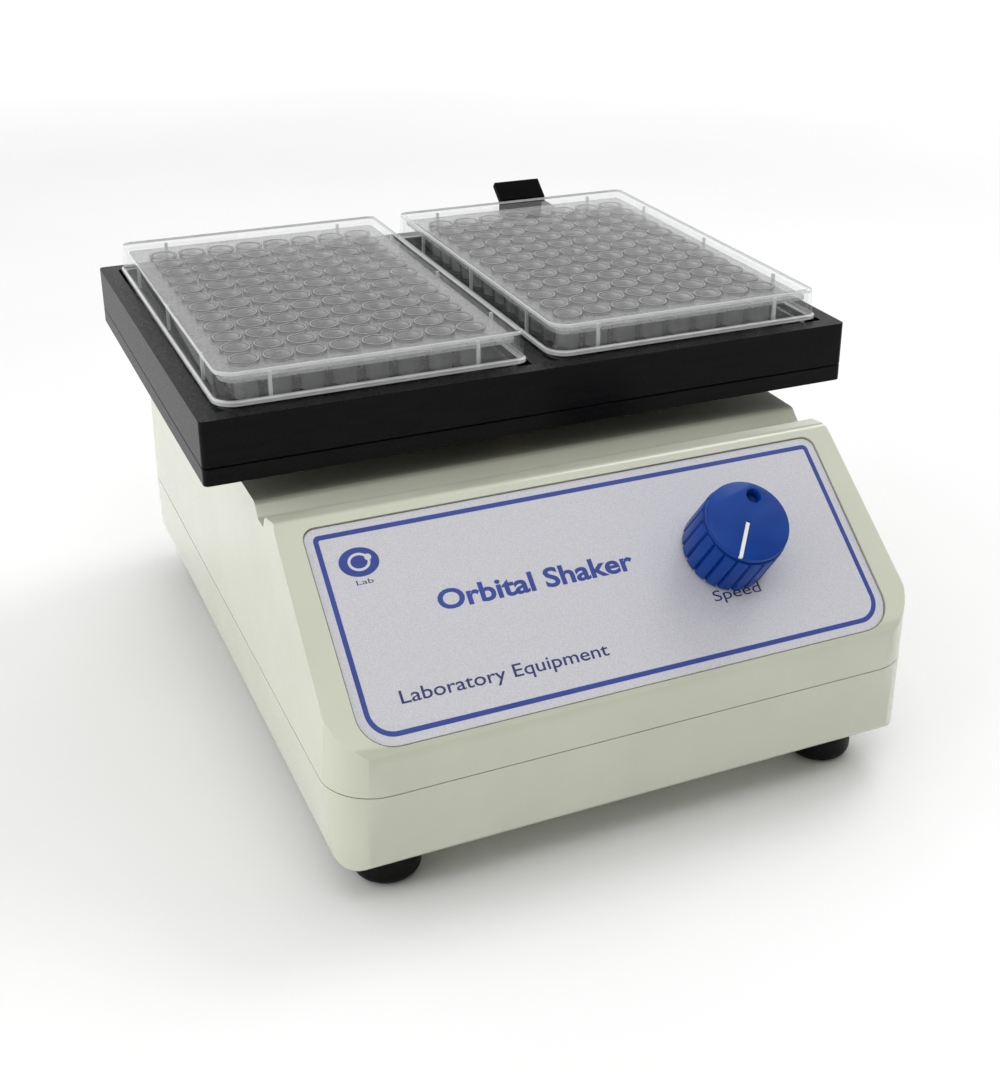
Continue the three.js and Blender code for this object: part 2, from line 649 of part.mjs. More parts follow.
const INLET_FLANGE = 1.6;
const INLET_DEPTH = 16;
const INLET_PINS = [[-7, -1.5], [0, 2], [7, -1.5]];
const PIN_RECESS = 5.5; // pin ends behind the inlet's face

function makePowerInlet() {
  const flange = roundedRectangle(INLET_X - 16.5, INLET_X + 16.5, INLET_Z - 12, INLET_Z + 12, 3);
  const rear = HOUSING_REAR + INLET_FLANGE;
  const pins = INLET_PINS.map(([dx, dz]) => box(
    INLET_X + dx - 1, INLET_X + dx + 1, rear - INLET_DEPTH - PAST, rear - PIN_RECESS,
    INLET_Z + dz - 2, INLET_Z + dz + 2,
  ));
  const shell = join(
    extrudeAlongY(flange, HOUSING_REAR + GAP, rear, 3),
    box(INLET_X - INLET_HALF_WIDTH + GAP, INLET_X + INLET_HALF_WIDTH - GAP,
      rear - INLET_DEPTH - 4, rear - 1,
      INLET_Z - INLET_HALF_HEIGHT + GAP, INLET_Z + INLET_HALF_HEIGHT - GAP),
  );
  const socket = extrudeAlongY(polygon([
    [INLET_X - 12, INLET_Z - 8.2], [INLET_X + 12, INLET_Z - 8.2],
    [INLET_X + 12, INLET_Z + 3.5], [INLET_X + 7.5, INLET_Z + 8.2],
    [INLET_X - 7.5, INLET_Z + 8.2], [INLET_X - 12, INLET_Z + 3.5],
  ]), rear - INLET_DEPTH, rear + PAST);
  return join(cut(shell, socket), ...pins);
}
add('power_inlet', makePowerInlet(), blackPlastic);

// ---------------------------------------------------------------- chassis, motor and electronics

const BUSH_OUTER = 6;
const BUSH_INNER = PIN_RADIUS + GAP;
const MOTOR_RADIUS = 18.5;
const MOTOR_BOTTOM = 24;
const MOTOR_BOSS = 6;
const MOTOR_SCREW_OFFSET = 12.5;
const MOTOR_SHAFT_RADIUS = 2.5;

function makeChassisPlate() {
  const sheet = extrudeUp(roundedRectangle(
    -CHASSIS_HALF_WIDTH, CHASSIS_HALF_WIDTH, CHASSIS_FRONT, CHASSIS_REAR, 6,
  ), CHASSIS_BOTTOM, CHASSIS_TOP, 3);
  const hole = (x, y, radius, sides) => rod(x, y, radius, CHASSIS_BOTTOM - 1, CHASSIS_TOP + 1, sides);
  return cut(
    sheet,
    hole(DRIVE_X, DRIVE_Y, MOTOR_BOSS + GAP, 20),
    ...IDLERS.map(({ x, y }) => hole(x, y, BUSH_OUTER + GAP, 20)),
    ...[-1, 1].map((side) => hole(side * MOTOR_SCREW_OFFSET, DRIVE_Y, SCREW_HOLE, SCREW_SIDES)),
  );
}
add('chassis_plate', makeChassisPlate(), zincSteel);

POSTS.forEach(([x, y], i) => {
  add(`chassis_post_${i + 1}`, rod(x, y, 4, TRAY_FLOOR + GAP, CHASSIS_BOTTOM - GAP, 6), zincSteel);
});

add('motor', cut(
  join(
    rod(DRIVE_X, DRIVE_Y, MOTOR_RADIUS, MOTOR_BOTTOM, CHASSIS_BOTTOM - GAP, ROUND),
    rod(DRIVE_X, DRIVE_Y, MOTOR_BOSS, CHASSIS_BOTTOM - 1, CHASSIS_TOP + 1, 20),
    rod(DRIVE_X, DRIVE_Y, MOTOR_BOSS, MOTOR_BOTTOM - 3, MOTOR_BOTTOM + 1, 20),
  ),
  rod(DRIVE_X, DRIVE_Y, MOTOR_SHAFT_RADIUS + GAP, CHASSIS_BOTTOM - 8, CHASSIS_TOP + 2, 16),
  ...[-1, 1].map((side) => rod(
    side * MOTOR_SCREW_OFFSET, DRIVE_Y, SCREW_HOLE, CHASSIS_BOTTOM - 8, CHASSIS_BOTTOM + 1, SCREW_SIDES,
  )),
), steel);
[['left', -1], ['right', 1]].forEach(([name, side]) => {
  add(`motor_screw_${name}`, screwDown(
    side * MOTOR_SCREW_OFFSET, DRIVE_Y, 2.8, CHASSIS_TOP + GAP + 1.8, 1.8, CHASSIS_BOTTOM - 7,
  ), zincSteel);
});

const BOARD_BOTTOM = 22;
const BOARD_THICKNESS = 1.6;
const BOARD_X = [2, 50];
const BOARD_Y = [-58, -24];
const CAPACITORS = [13, 27]; // X of each
const CAPACITOR_HEIGHT = 16;
const BOARD_LEG_INSET = 3;

function makeControlBoard() {
  const top = BOARD_BOTTOM + BOARD_THICKNESS * HALF;
  const legs = [BOARD_X[0] + BOARD_LEG_INSET, BOARD_X[1] - BOARD_LEG_INSET].flatMap((x) =>
    [BOARD_Y[0] + BOARD_LEG_INSET, BOARD_Y[1] - BOARD_LEG_INSET].map((y) =>
      rod(x, y, 2.5, TRAY_FLOOR + GAP, top, SCREW_SIDES)));
  const capacitors = CAPACITORS.map((x) => rod(x, -34, 6, top, top + CAPACITOR_HEIGHT, 16));
  const heatSink = box(36, 45, -54, -29, top, top + 12);
  const relay = box(9, 33, -56, -48, top, top + 9);
  const sheet = box(...BOARD_X, ...BOARD_Y, BOARD_BOTTOM, BOARD_BOTTOM + BOARD_THICKNESS);
  return join(sheet, ...legs, ...capacitors, heatSink, relay);
}
add('control_board', makeControlBoard(), boardGreen);

const CORE_HEIGHT = 37;
const WINDING_BOTTOM = 7; // above the tray's floor, as is its top
const WINDING_TOP = 30;
add('transformer', join(
  box(-50, -8, -66, -44, TRAY_FLOOR + GAP, TRAY_FLOOR + CORE_HEIGHT),
  box(-45, -13, -74, -36, TRAY_FLOOR + WINDING_BOTTOM, TRAY_FLOOR + WINDING_TOP),
), transformerIron);

// ---------------------------------------------------------------- drive crank and idlers

const CRANK_BOTTOM = CHASSIS_TOP + 2.6;
const CRANK_TOP = 77.6;
const DRIVE_PIN_RADIUS = 4;
const HUB_BOTTOM = 82.6;
const HUB_ROOF = 90.9;
const WEIGHT_RADIUS = 24; // counterweight
const WEIGHT_HEIGHT = 7;
const CRANK_RADIUS = 9;

add('motor_shaft',
  rod(DRIVE_X, DRIVE_Y, MOTOR_SHAFT_RADIUS, CHASSIS_BOTTOM - 6, CRANK_TOP - 2, 16), steel);

function makeDriveCrank() {
  const weight = new THREE.Shape();
  weight.absarc(DRIVE_X, DRIVE_Y, WEIGHT_RADIUS, Math.PI, 2 * Math.PI);
  weight.closePath();
  return cut(
    join(
      rod(DRIVE_X, DRIVE_Y, CRANK_RADIUS, CRANK_BOTTOM, CRANK_TOP, ROUND),
      extrudeUp(weight, CRANK_BOTTOM, CRANK_BOTTOM + WEIGHT_HEIGHT, 12),
      rod(DRIVE_X, PLATFORM_Y, DRIVE_PIN_RADIUS, CRANK_TOP - 1, HUB_ROOF - GAP, 20),
    ),
    rod(DRIVE_X, DRIVE_Y, MOTOR_SHAFT_RADIUS + GAP, CRANK_BOTTOM - 1, CRANK_TOP - 1.6, 16),
  );
}
add('drive_crank', makeDriveCrank(), steel);

const WEB_BOTTOM = 71.3;
const WEB_TOP = 76.3;
const WEB_RADIUS = 7.5;
const FLANGE_RADIUS = 8;
for (const { name, x, y } of IDLERS) {
  add(`idler_bush_${name}`, cut(
    join(
      rod(x, y, BUSH_OUTER, CHASSIS_BOTTOM - 5, CHASSIS_TOP + 1, 20),
      rod(x, y, FLANGE_RADIUS, CHASSIS_TOP + GAP, WEB_BOTTOM - 3, 20),
    ),
    rod(x, y, BUSH_INNER, CHASSIS_BOTTOM - 6, WEB_BOTTOM, 16),
  ), bronze);
  add(`idler_crank_${name}`, join(
    rod(x, y, PIN_RADIUS, CHASSIS_BOTTOM - 6, WEB_BOTTOM + 1, 16),
    rod(x, y, WEB_RADIUS, WEB_BOTTOM, WEB_TOP, 20),
    rod(x, y + ORBIT_RADIUS, PIN_RADIUS, WEB_TOP - 1, PLATFORM_PLATE_TOP - 1, 16),
  ), steel);
}

// ---------------------------------------------------------------- platform

const PLATFORM_SCREW_X = 76;
const PLATFORM_SCREW_Y = 52; // from the platform's middle
const PLATFORM_SCREWS = [[-1, -1], [1, -1], [-1, 1], [1, 1]].map(([sx, sy]) =>
  [sx * PLATFORM_SCREW_X, PLATFORM_Y + sy * PLATFORM_SCREW_Y]);
const platformOutline = (width, depth, radius) => roundedRectangle(
  -width * HALF, width * HALF, PLATFORM_Y - depth * HALF, PLATFORM_Y + depth * HALF, radius,
);
const PLATFORM_CORNER = 1.5;

add('platform_plate', cut(
  extrudeUp(platformOutline(PLATFORM_WIDTH, PLATFORM_DEPTH, PLATFORM_CORNER),
    PLATFORM_BOTTOM, PLATFORM_PLATE_TOP, 3),
  ...IDLERS.map(({ x, y }) => rod(
    x, y + ORBIT_RADIUS, BUSH_OUTER + GAP, PLATFORM_BOTTOM - 1, PLATFORM_PLATE_TOP + 1, 20)),
  ...PLATFORM_SCREWS.map(([x, y]) =>
    rod(x, y, SCREW_HOLE, PLATFORM_BOTTOM - 1, PLATFORM_PLATE_TOP + 1, SCREW_SIDES)),
), blackPlate);

const pocket = (centreX) => box(
  centreX - POCKET_WIDTH * HALF, centreX + POCKET_WIDTH * HALF,
  PLATFORM_Y - POCKET_DEPTH * HALF, PLATFORM_Y + POCKET_DEPTH * HALF,
  POCKET_FLOOR, PLATFORM_TOP + 1,
);
const TRAY_BOTTOM = PLATFORM_PLATE_TOP + GAP;
add('platform_tray', cut(
  extrudeUp(platformOutline(PLATFORM_WIDTH, PLATFORM_DEPTH, PLATFORM_CORNER),
    TRAY_BOTTOM, PLATFORM_TOP, 3),
  pocket(-PLATE_CENTRE_X), pocket(PLATE_CENTRE_X),
  ...PLATFORM_SCREWS.flatMap(([x, y]) => [
    rod(x, y, SCREW_HOLE, TRAY_BOTTOM - 1, POCKET_FLOOR + 1, SCREW_SIDES),
    rod(x, y, 4, POCKET_FLOOR - 3, POCKET_FLOOR + 1, SCREW_SIDES),
  ]),
), blackPlate);
PLATFORM_SCREWS.forEach(([x, y], i) => {
  add(`platform_screw_${i + 1}`,
    screwDown(x, y, 3.5, POCKET_FLOOR - 0.5, 2, PLATFORM_BOTTOM + 0.5), zincSteel);
});

const BEARING_RADIUS = 11;
add('bearing_hub', cut(
  rod(DRIVE_X, PLATFORM_Y, HUB_RADIUS, HUB_BOTTOM, PLATFORM_BOTTOM - GAP, ROUND),
  rod(DRIVE_X, PLATFORM_Y, BEARING_RADIUS + GAP, HUB_BOTTOM - PAST, HUB_ROOF, ROUND),
), aluminium);
add('drive_bearing', cut(
  rod(DRIVE_X, PLATFORM_Y, BEARING_RADIUS, HUB_BOTTOM + 0.8, HUB_ROOF - GAP, ROUND),
  rod(DRIVE_X, PLATFORM_Y, DRIVE_PIN_RADIUS + GAP, HUB_BOTTOM, HUB_ROOF, ROUND),
), steel);
for (const { name, x, y } of IDLERS) {
  add(`platform_bush_${name}`, cut(
    join(
      rod(x, y + ORBIT_RADIUS, BUSH_OUTER, PLATFORM_BOTTOM - 3, PLATFORM_PLATE_TOP - GAP, 20),
      rod(x, y + ORBIT_RADIUS, FLANGE_RADIUS, PLATFORM_BOTTOM - 2, PLATFORM_BOTTOM - GAP, 20),
    ),
    rod(x, y + ORBIT_RADIUS, BUSH_INNER, PLATFORM_BOTTOM - 4, PLATFORM_PLATE_TOP, 16),
  ), bronze);
}

// ---------------------------------------------------------------- rear clamp

const PLATFORM_REAR = PLATFORM_Y + PLATFORM_DEPTH * HALF;
const BRACKET_HALF_WIDTH = 12;
const EAR = 1.5;
const PIN = 1.2;
const BARREL_RADIUS = 2.6;
const SPRING_FROM = 1.2; // spring space, measured from the clamp's middle

function makeClampBracket() {
  const ear = (x) => box(x, x + EAR, PLATFORM_REAR + 1, CLAMP_PIVOT_Y + 2.6,
    CLAMP_PIVOT_Z - 3, CLAMP_PIVOT_Z + 3);
  const left = CLAMP_X - BRACKET_HALF_WIDTH;
  const right = CLAMP_X + BRACKET_HALF_WIDTH;
  return cut(
    join(
      box(left, right, PLATFORM_REAR + GAP, PLATFORM_REAR + GAP + EAR,
        PLATFORM_BOTTOM + 1, PLATFORM_TOP - 2),
      ear(left), ear(right - EAR),
    ),
    rodX(CLAMP_PIVOT_Y, CLAMP_PIVOT_Z, PIN + GAP, left - 1, right + 1),
  );
}
add('clamp_bracket', makeClampBracket(), blackPlastic);
add('clamp_pin', rodX(CLAMP_PIVOT_Y, CLAMP_PIVOT_Z, PIN,
  CLAMP_X - BRACKET_HALF_WIDTH - 0.6, CLAMP_X + BRACKET_HALF_WIDTH + 0.6), steel);

const SPRING_TURNS = 3;
const SPRING_LENGTH = 7;
const SPRING_RADIUS = 2.2;
const SPRING_WIRE = 0.4;
const STEPS_PER_TURN = 8;

/** Torsion spring wound round the clamp pin. */
function makeClampSpring() {
  const steps = STEPS_PER_TURN * SPRING_TURNS;
  const start = CLAMP_X + SPRING_FROM + GAP + SPRING_WIRE;
  const points = [];
  for (let i = 0; i <= steps; i += 1) {
    const angle = (i / STEPS_PER_TURN) * 2 * Math.PI;
    points.push(new THREE.Vector3(
      start + (i / steps) * SPRING_LENGTH,
      CLAMP_PIVOT_Y + SPRING_RADIUS * Math.cos(angle),
      CLAMP_PIVOT_Z + SPRING_RADIUS * Math.sin(angle),
    ));
  }
  const wire = new THREE.Shape();
  wire.absarc(0, 0, SPRING_WIRE, 0, 2 * Math.PI);
  return toSolid(new THREE.ExtrudeGeometry(wire, {
    extrudePath: new THREE.CatmullRomCurve3(points), steps, curveSegments: 2, bevelEnabled: false,
  }));
}
add('clamp_spring', makeClampSpring(), steel);

const LEVER_FRONT = CLAMP_PIVOT_Y - 1;
const LEVER_REAR = CLAMP_PIVOT_Y + 1;
const NOSE_Y = PLATFORM_Y + PLATE_DEPTH * HALF + 0.4;
const leverProfile = polygon([
  [LEVER_FRONT, CLAMP_PIVOT_Z], [LEVER_REAR, CLAMP_PIVOT_Z],
  [LEVER_REAR, 116], [CLAMP_PIVOT_Y + 6.6, 120.6], [CLAMP_PIVOT_Y + 5.2, 122.4],
  [LEVER_FRONT, 117.4], [LEVER_FRONT, 115.8],
  [NOSE_Y, 115.8], [NOSE_Y, 112.3], [LEVER_FRONT, 112.3],
]);
add('clamp_lever', cut(
  join(
    extrudeAlongX(leverProfile, CLAMP_X - CLAMP_WIDTH * HALF, CLAMP_X + CLAMP_WIDTH * HALF),
    rodX(CLAMP_PIVOT_Y, CLAMP_PIVOT_Z, BARREL_RADIUS,
      CLAMP_X - BRACKET_HALF_WIDTH + EAR + GAP, CLAMP_X + SPRING_FROM),
  ),
  rodX(CLAMP_PIVOT_Y, CLAMP_PIVOT_Z, PIN + GAP, CLAMP_X - 20, CLAMP_X + 20),
  box(CLAMP_X + SPRING_FROM, CLAMP_X + 20, CLAMP_PIVOT_Y - 5, CLAMP_PIVOT_Y + 5,
    CLAMP_PIVOT_Z - 4, CLAMP_PIVOT_Z + 4),
), blackPlastic);

// ---------------------------------------------------------------- microplates and lids

function plateOutline(centreX, inset, frontLeft, others) {
  const x0 = centreX - PLATE_WIDTH * HALF + inset;
  const x1 = centreX + PLATE_WIDTH * HALF - inset;
  const y0 = PLATFORM_Y - PLATE_DEPTH * HALF + inset;
  const y1 = PLATFORM_Y + PLATE_DEPTH * HALF - inset;
  const quarter = Math.PI * HALF;
  const shape = new THREE.Shape();
  shape.absarc(x1 - others, y0 + others, others, -quarter, 0);
  shape.absarc(x1 - others, y1 - others, others, 0, quarter);
  shape.absarc(x0 + others, y1 - others, others, quarter, Math.PI);
  shape.absarc(x0 + frontLeft, y0 + frontLeft, frontLeft, Math.PI, 3 * quarter);
  shape.closePath();
  return shape;
}

/** Holes for the wells, arranged in rows and columns on the standard pitch. */
function wellHoles(centreX) {
  const holes = [];
  for (let column = 0; column < WELL_COLUMNS; column += 1) {
    for (let row = 0; row < WELL_ROWS; row += 1) {
      const hole = new THREE.Path();
      const x = centreX + (column - (WELL_COLUMNS - 1) * HALF) * WELL_PITCH;
      const y = PLATFORM_Y + (row - (WELL_ROWS - 1) * HALF) * WELL_PITCH;
      for (let k = 0; k < WELL_SIDES; k += 1) {
        const angle = (k / WELL_SIDES) * 2 * Math.PI;
        const at = [x + WELL_RADIUS * Math.cos(angle), y + WELL_RADIUS * Math.sin(angle)];
        if (k === 0) hole.moveTo(...at);
        else hole.lineTo(...at);
      }
      hole.closePath();
      holes.push(hole);
    }
  }
  return holes;
}

function makePlate(centreX) {
  const top = PLATE_BOTTOM + PLATE_HEIGHT;
  const floor = top - WELL_DEPTH;
  const wellBlock = plateOutline(centreX, PLATE_INSET, 5, 2);
  wellBlock.holes = wellHoles(centreX);
  return join(
    extrudeUp(plateOutline(centreX, 0, 6, 3), PLATE_BOTTOM, PLATE_BOTTOM + PLATE_SKIRT, 3),
    extrudeUp(plateOutline(centreX, PLATE_INSET, 5, 2), PLATE_BOTTOM + 1, floor, 3),
    extrudeUp(wellBlock, floor - GAP, top, 3),
  );
}

function makeLid(centreX) {
  const flange = 1.2;
  const inside = LID_INSET + LID_WALL;
  return cut(
    join(
      extrudeUp(plateOutline(centreX, 0, 6, 2.5), LID_BOTTOM, LID_BOTTOM + flange, 3),
      extrudeUp(plateOutline(centreX, LID_INSET, 5.5, 2), LID_BOTTOM, LID_TOP, 3),
    ),
    extrudeUp(plateOutline(centreX, inside, 4.5, 1.5), LID_BOTTOM - 1, LID_TOP - 1.2, 3),
  );
}

[['left', -PLATE_CENTRE_X], ['right', PLATE_CENTRE_X]].forEach(([side, centreX]) => {
  add(`microplate_${side}`, makePlate(centreX), clearPlastic);
  add(`plate_lid_${side}`, makeLid(centreX), clearPlastic);
});

export default shaker;
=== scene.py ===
import json
import math

import bmesh
import bpy
from mathutils import Matrix, Vector


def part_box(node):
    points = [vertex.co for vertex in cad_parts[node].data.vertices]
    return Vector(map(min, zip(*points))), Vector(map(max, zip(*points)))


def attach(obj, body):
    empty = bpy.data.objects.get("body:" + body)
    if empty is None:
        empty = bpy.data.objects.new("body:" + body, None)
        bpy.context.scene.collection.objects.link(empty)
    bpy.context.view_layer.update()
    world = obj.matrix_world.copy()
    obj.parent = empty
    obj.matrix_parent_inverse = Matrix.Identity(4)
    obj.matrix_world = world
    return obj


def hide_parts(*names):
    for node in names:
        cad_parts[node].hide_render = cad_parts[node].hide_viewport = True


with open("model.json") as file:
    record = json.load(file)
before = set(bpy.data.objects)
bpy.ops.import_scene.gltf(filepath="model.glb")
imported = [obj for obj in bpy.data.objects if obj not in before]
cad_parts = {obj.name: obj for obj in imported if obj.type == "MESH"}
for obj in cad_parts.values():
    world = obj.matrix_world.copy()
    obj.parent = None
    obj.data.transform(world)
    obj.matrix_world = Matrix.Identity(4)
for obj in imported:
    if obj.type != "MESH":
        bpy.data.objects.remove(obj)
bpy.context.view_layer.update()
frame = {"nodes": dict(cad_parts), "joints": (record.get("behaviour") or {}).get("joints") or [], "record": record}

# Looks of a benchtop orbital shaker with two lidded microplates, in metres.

MM = 0.001
SIDES = ("left", "right")
CORNERS = ("front_left", "front_right", "rear_left", "rear_right")


# ------------------------------------------------------------------ camera, backdrop and light

CAMERA_PLACE = Vector((-0.16337, -0.39679, 0.25933))
CAMERA_TURN = 0.42914  # towards +X from +Y
CAMERA_DROP = 0.41764  # below the horizontal
CAMERA_ROLL = 0.00857
CAMERA_LENS = 52.34
CAMERA_SENSOR = 36
CAMERA_SHIFT = (-0.0395, -0.0774)


def make_camera():
    forward = Vector((
        math.sin(CAMERA_TURN) * math.cos(CAMERA_DROP),
        math.cos(CAMERA_TURN) * math.cos(CAMERA_DROP),
        -math.sin(CAMERA_DROP),
    ))
    level = Vector((math.cos(CAMERA_TURN), -math.sin(CAMERA_TURN), 0))
    upright = level.cross(forward)
    right = level * math.cos(CAMERA_ROLL) + upright * math.sin(CAMERA_ROLL)
    up = right.cross(forward)
    data = bpy.data.cameras.new("camera")
    data.lens = CAMERA_LENS
    data.sensor_width = CAMERA_SENSOR
    data.shift_x, data.shift_y = CAMERA_SHIFT
    data.dof.use_dof = False
    camera = bpy.data.objects.new("camera", data)
    axes = Matrix((right, up, -forward)).transposed()
    camera.matrix_world = Matrix.Translation(CAMERA_PLACE) @ axes.to_4x4()
    bpy.context.scene.collection.objects.link(camera)
    bpy.context.scene.camera = camera


def make_light(name, place, aim, size, power):
    data = bpy.data.lights.new(name, "AREA")
    data.shape = "RECTANGLE"
    data.size, data.size_y = size
    data.energy = power
    light = bpy.data.objects.new(name, data)
    light.location = place
    light.rotation_euler = (Vector(aim) - Vector(place)).to_track_quat("-Z", "Y").to_euler()
    bpy.context.scene.collection.objects.link(light)


DIM_FROM = -0.95  # how far a direction points to the front, where the dimming is full
DIM_TO = -0.05  # and where it ends


def make_world(front, rest):
    """White backdrop whose light is dimmer in front of the machine than on its other sides."""
    world = bpy.data.worlds.new("studio")
    world.use_nodes = True
    nodes, links = world.node_tree.nodes, world.node_tree.links
    direction = nodes.new("ShaderNodeTexCoord")
    parts = nodes.new("ShaderNodeSeparateXYZ")
    links.new(direction.outputs["Generated"], parts.inputs["Vector"])
    blend = nodes.new("ShaderNodeMapRange")
    blend.interpolation_type = "SMOOTHSTEP"
    blend.inputs["From Min"].default_value = DIM_FROM
    blend.inputs["From Max"].default_value = DIM_TO
    blend.inputs["To Min"].default_value = front
    blend.inputs["To Max"].default_value = rest
    links.new(parts.outputs["Y"], blend.inputs["Value"])
    path = nodes.new("ShaderNodeLightPath")
    backdrop = nodes.new("ShaderNodeMath")
    backdrop.operation = "MAXIMUM"
    links.new(path.outputs["Is Camera Ray"], backdrop.inputs[0])
    links.new(blend.outputs["Result"], backdrop.inputs[1])
    links.new(backdrop.outputs["Value"], nodes["Background"].inputs["Strength"])
    nodes["Background"].inputs["Color"].default_value = (1, 1, 1, 1)
    bpy.context.scene.world = world


# ------------------------------------------------------------------ materials


def srgb(red, green, blue):
    """Linear colour of an 8-bit sRGB one."""
    def linear(value):
        value /= 255
        return value / 12.92 if value <= 0.04045 else ((value + 0.055) / 1.055) ** 2.4
    return (linear(red), linear(green), linear(blue), 1)


def new_material(name):
    material = bpy.data.materials.new(name)
    material.use_nodes = True
    return material, material.node_tree.nodes, material.node_tree.links


def noise(nodes, links, scale, detail, stretch=(1, 1, 1)):
    place = nodes.new("ShaderNodeTexCoord")
    mapping = nodes.new("ShaderNodeMapping")
    mapping.inputs["Scale"].default_value = stretch
    texture = nodes.new("ShaderNodeTexNoise")
    texture.inputs["Scale"].default_value = scale
    texture.inputs["Detail"].default_value = detail
    links.new(place.outputs["Object"], mapping.inputs["Vector"])
    links.new(mapping.outputs["Vector"], texture.inputs["Vector"])
    return texture.outputs["Fac"]


def ramp(nodes, links, source, low, high, first, second):
    node = nodes.new("ShaderNodeValToRGB")
    node.color_ramp.elements[0].position = low
    node.color_ramp.elements[1].position = high
    node.color_ramp.elements[0].color = first
    node.color_ramp.elements[1].color = second
    links.new(source, node.inputs["Fac"])
    return node.outputs["Color"]


NOISE_LOW, NOISE_HIGH = 0.3, 0.7  # range that most of a noise's values lie in


def spread(nodes, links, source, low, high):
    """Stretches a noise's usual range to the given one."""
    node = nodes.new("ShaderNodeMapRange")
    node.inputs["From Min"].default_value = NOISE_LOW
    node.inputs["From Max"].default_value = NOISE_HIGH
    node.inputs["To Min"].default_value = low
    node.inputs["To Max"].default_value = high
    links.new(source, node.inputs["Value"])
    return node.outputs["Result"]


def bump(nodes, links, source, distance, strength):
    node = nodes.new("ShaderNodeBump")
    node.inputs["Distance"].default_value = distance
    node.inputs["Strength"].default_value = strength
    links.new(source, node.inputs["Height"])
    return node.outputs["Normal"]


def solid_material(name, dark, light, roughness, mottle=60, grain=900, depth=0.03 * MM,
                   strength=0.25, metallic=0.0, coat=0.0, stretch=(1, 1, 1), ior=1.5):
    """Mottled colour, uneven gloss and a fine grain, for plastic, rubber and metal."""
    material, nodes, links = new_material(name)
    shader = nodes["Principled BSDF"]
    patches = noise(nodes, links, mottle, 4, stretch)
    fine = noise(nodes, links, grain, 2, stretch)
    links.new(ramp(nodes, links, patches, 0.35, 0.65, dark, light), shader.inputs["Base Color"])
    links.new(spread(nodes, links, fine, *roughness), shader.inputs["Roughness"])
    links.new(bump(nodes, links, fine, depth, strength), shader.inputs["Normal"])
    shader.inputs["Metallic"].default_value = metallic
    shader.inputs["IOR"].default_value = ior
    shader.inputs["Coat Weight"].default_value = coat
    shader.inputs["Coat Roughness"].default_value = 0.12
    return material


def label_material():
    """Silver-grey film with pale flecks."""
    material, nodes, links = new_material("label_film")
    shader = nodes["Principled BSDF"]
    flecks = noise(nodes, links, 2600, 2)
    links.new(
        ramp(nodes, links, flecks, 0.35, 0.75, srgb(196, 196, 202), srgb(214, 214, 219)),
        shader.inputs["Base Color"],
    )
    links.new(spread(nodes, links, flecks, 0.46, 0.34), shader.inputs["Roughness"])
    links.new(bump(nodes, links, flecks, 0.02 * MM, 0.5), shader.inputs["Normal"])
    return material


def glance(nodes, links, power, straight, edge_on):
    """A value that goes from one figure seen straight on to another seen edge on."""
    facing = nodes.new("ShaderNodeLayerWeight")
    facing.inputs["Blend"].default_value = 0.5
    curve = nodes.new("ShaderNodeMath")
    curve.operation = "POWER"
    curve.inputs[1].default_value = power
    links.new(facing.outputs["Facing"], curve.inputs[0])
    scale = nodes.new("ShaderNodeMath")
    scale.operation = "MULTIPLY_ADD"
    scale.inputs[1].default_value = edge_on - straight
    scale.inputs[2].default_value = straight
    links.new(curve.outputs["Value"], scale.inputs[0])
    return scale.outputs["Value"]


def clear_material(name, haze_and_painted_light, body, veil_colour=srgb(226, 228, 228), mirrored=(0.05, 1.0),
                   edge=None, edge_painted_highlight=0):
    """Clear moulded plastic under a diffuse veil: a slight real haze on walls and tubes, and painted light where
    it is thick, as highlights on the lids' edges and flanges and shade on the wells' rim lines and floors. Edges
    can be shinier, darker with painted shade, and paler with a painted highlight.
    """
    material, nodes, links = new_material(name)
    nodes.remove(nodes["Principled BSDF"])
    output = nodes["Material Output"]
    clear = nodes.new("ShaderNodeBsdfTransparent")
    # Painted shade: the clear colour turns towards the edge colour as the surface turns edge-on.
    edge_shade_blend = glance(nodes, links, 3, 0, 1)
    links.new(ramp(nodes, links, edge_shade_blend, 0, 1, body, edge or body), clear.inputs["Color"])
    # The diffuse veil: real haze when thin, painted light when thick, pale for highlights and dark for shade.
    veil_shader = nodes.new("ShaderNodeBsdfDiffuse")
    veil_shader.inputs["Color"].default_value = veil_colour
    veil = nodes.new("ShaderNodeMixShader")
    cloud = noise(nodes, links, 220, 3)
    whole = nodes.new("ShaderNodeMath")
    whole.operation = "ADD"
    links.new(spread(nodes, links, cloud, haze_and_painted_light * 0.9, haze_and_painted_light * 1.1), whole.inputs[0])
    # Painted highlight: the veil grows edge-on by the edge highlight amount.
    links.new(glance(nodes, links, 4, 0, edge_painted_highlight), whole.inputs[1])
    links.new(whole.outputs["Value"], veil.inputs["Fac"])
    links.new(clear.outputs["BSDF"], veil.inputs[1])
    links.new(veil_shader.outputs["BSDF"], veil.inputs[2])
    mirror = nodes.new("ShaderNodeBsdfGlossy")
    mirror.inputs["Color"].default_value = (1, 1, 1, 1)
    mirror.inputs["Roughness"].default_value = 0.06
    surface = nodes.new("ShaderNodeMixShader")
    links.new(glance(nodes, links, 5, *mirrored), surface.inputs["Fac"])
    links.new(veil.outputs["Shader"], surface.inputs[1])
    links.new(mirror.outputs["BSDF"], surface.inputs[2])
    links.new(surface.outputs["Shader"], output.inputs["Surface"])
    return material


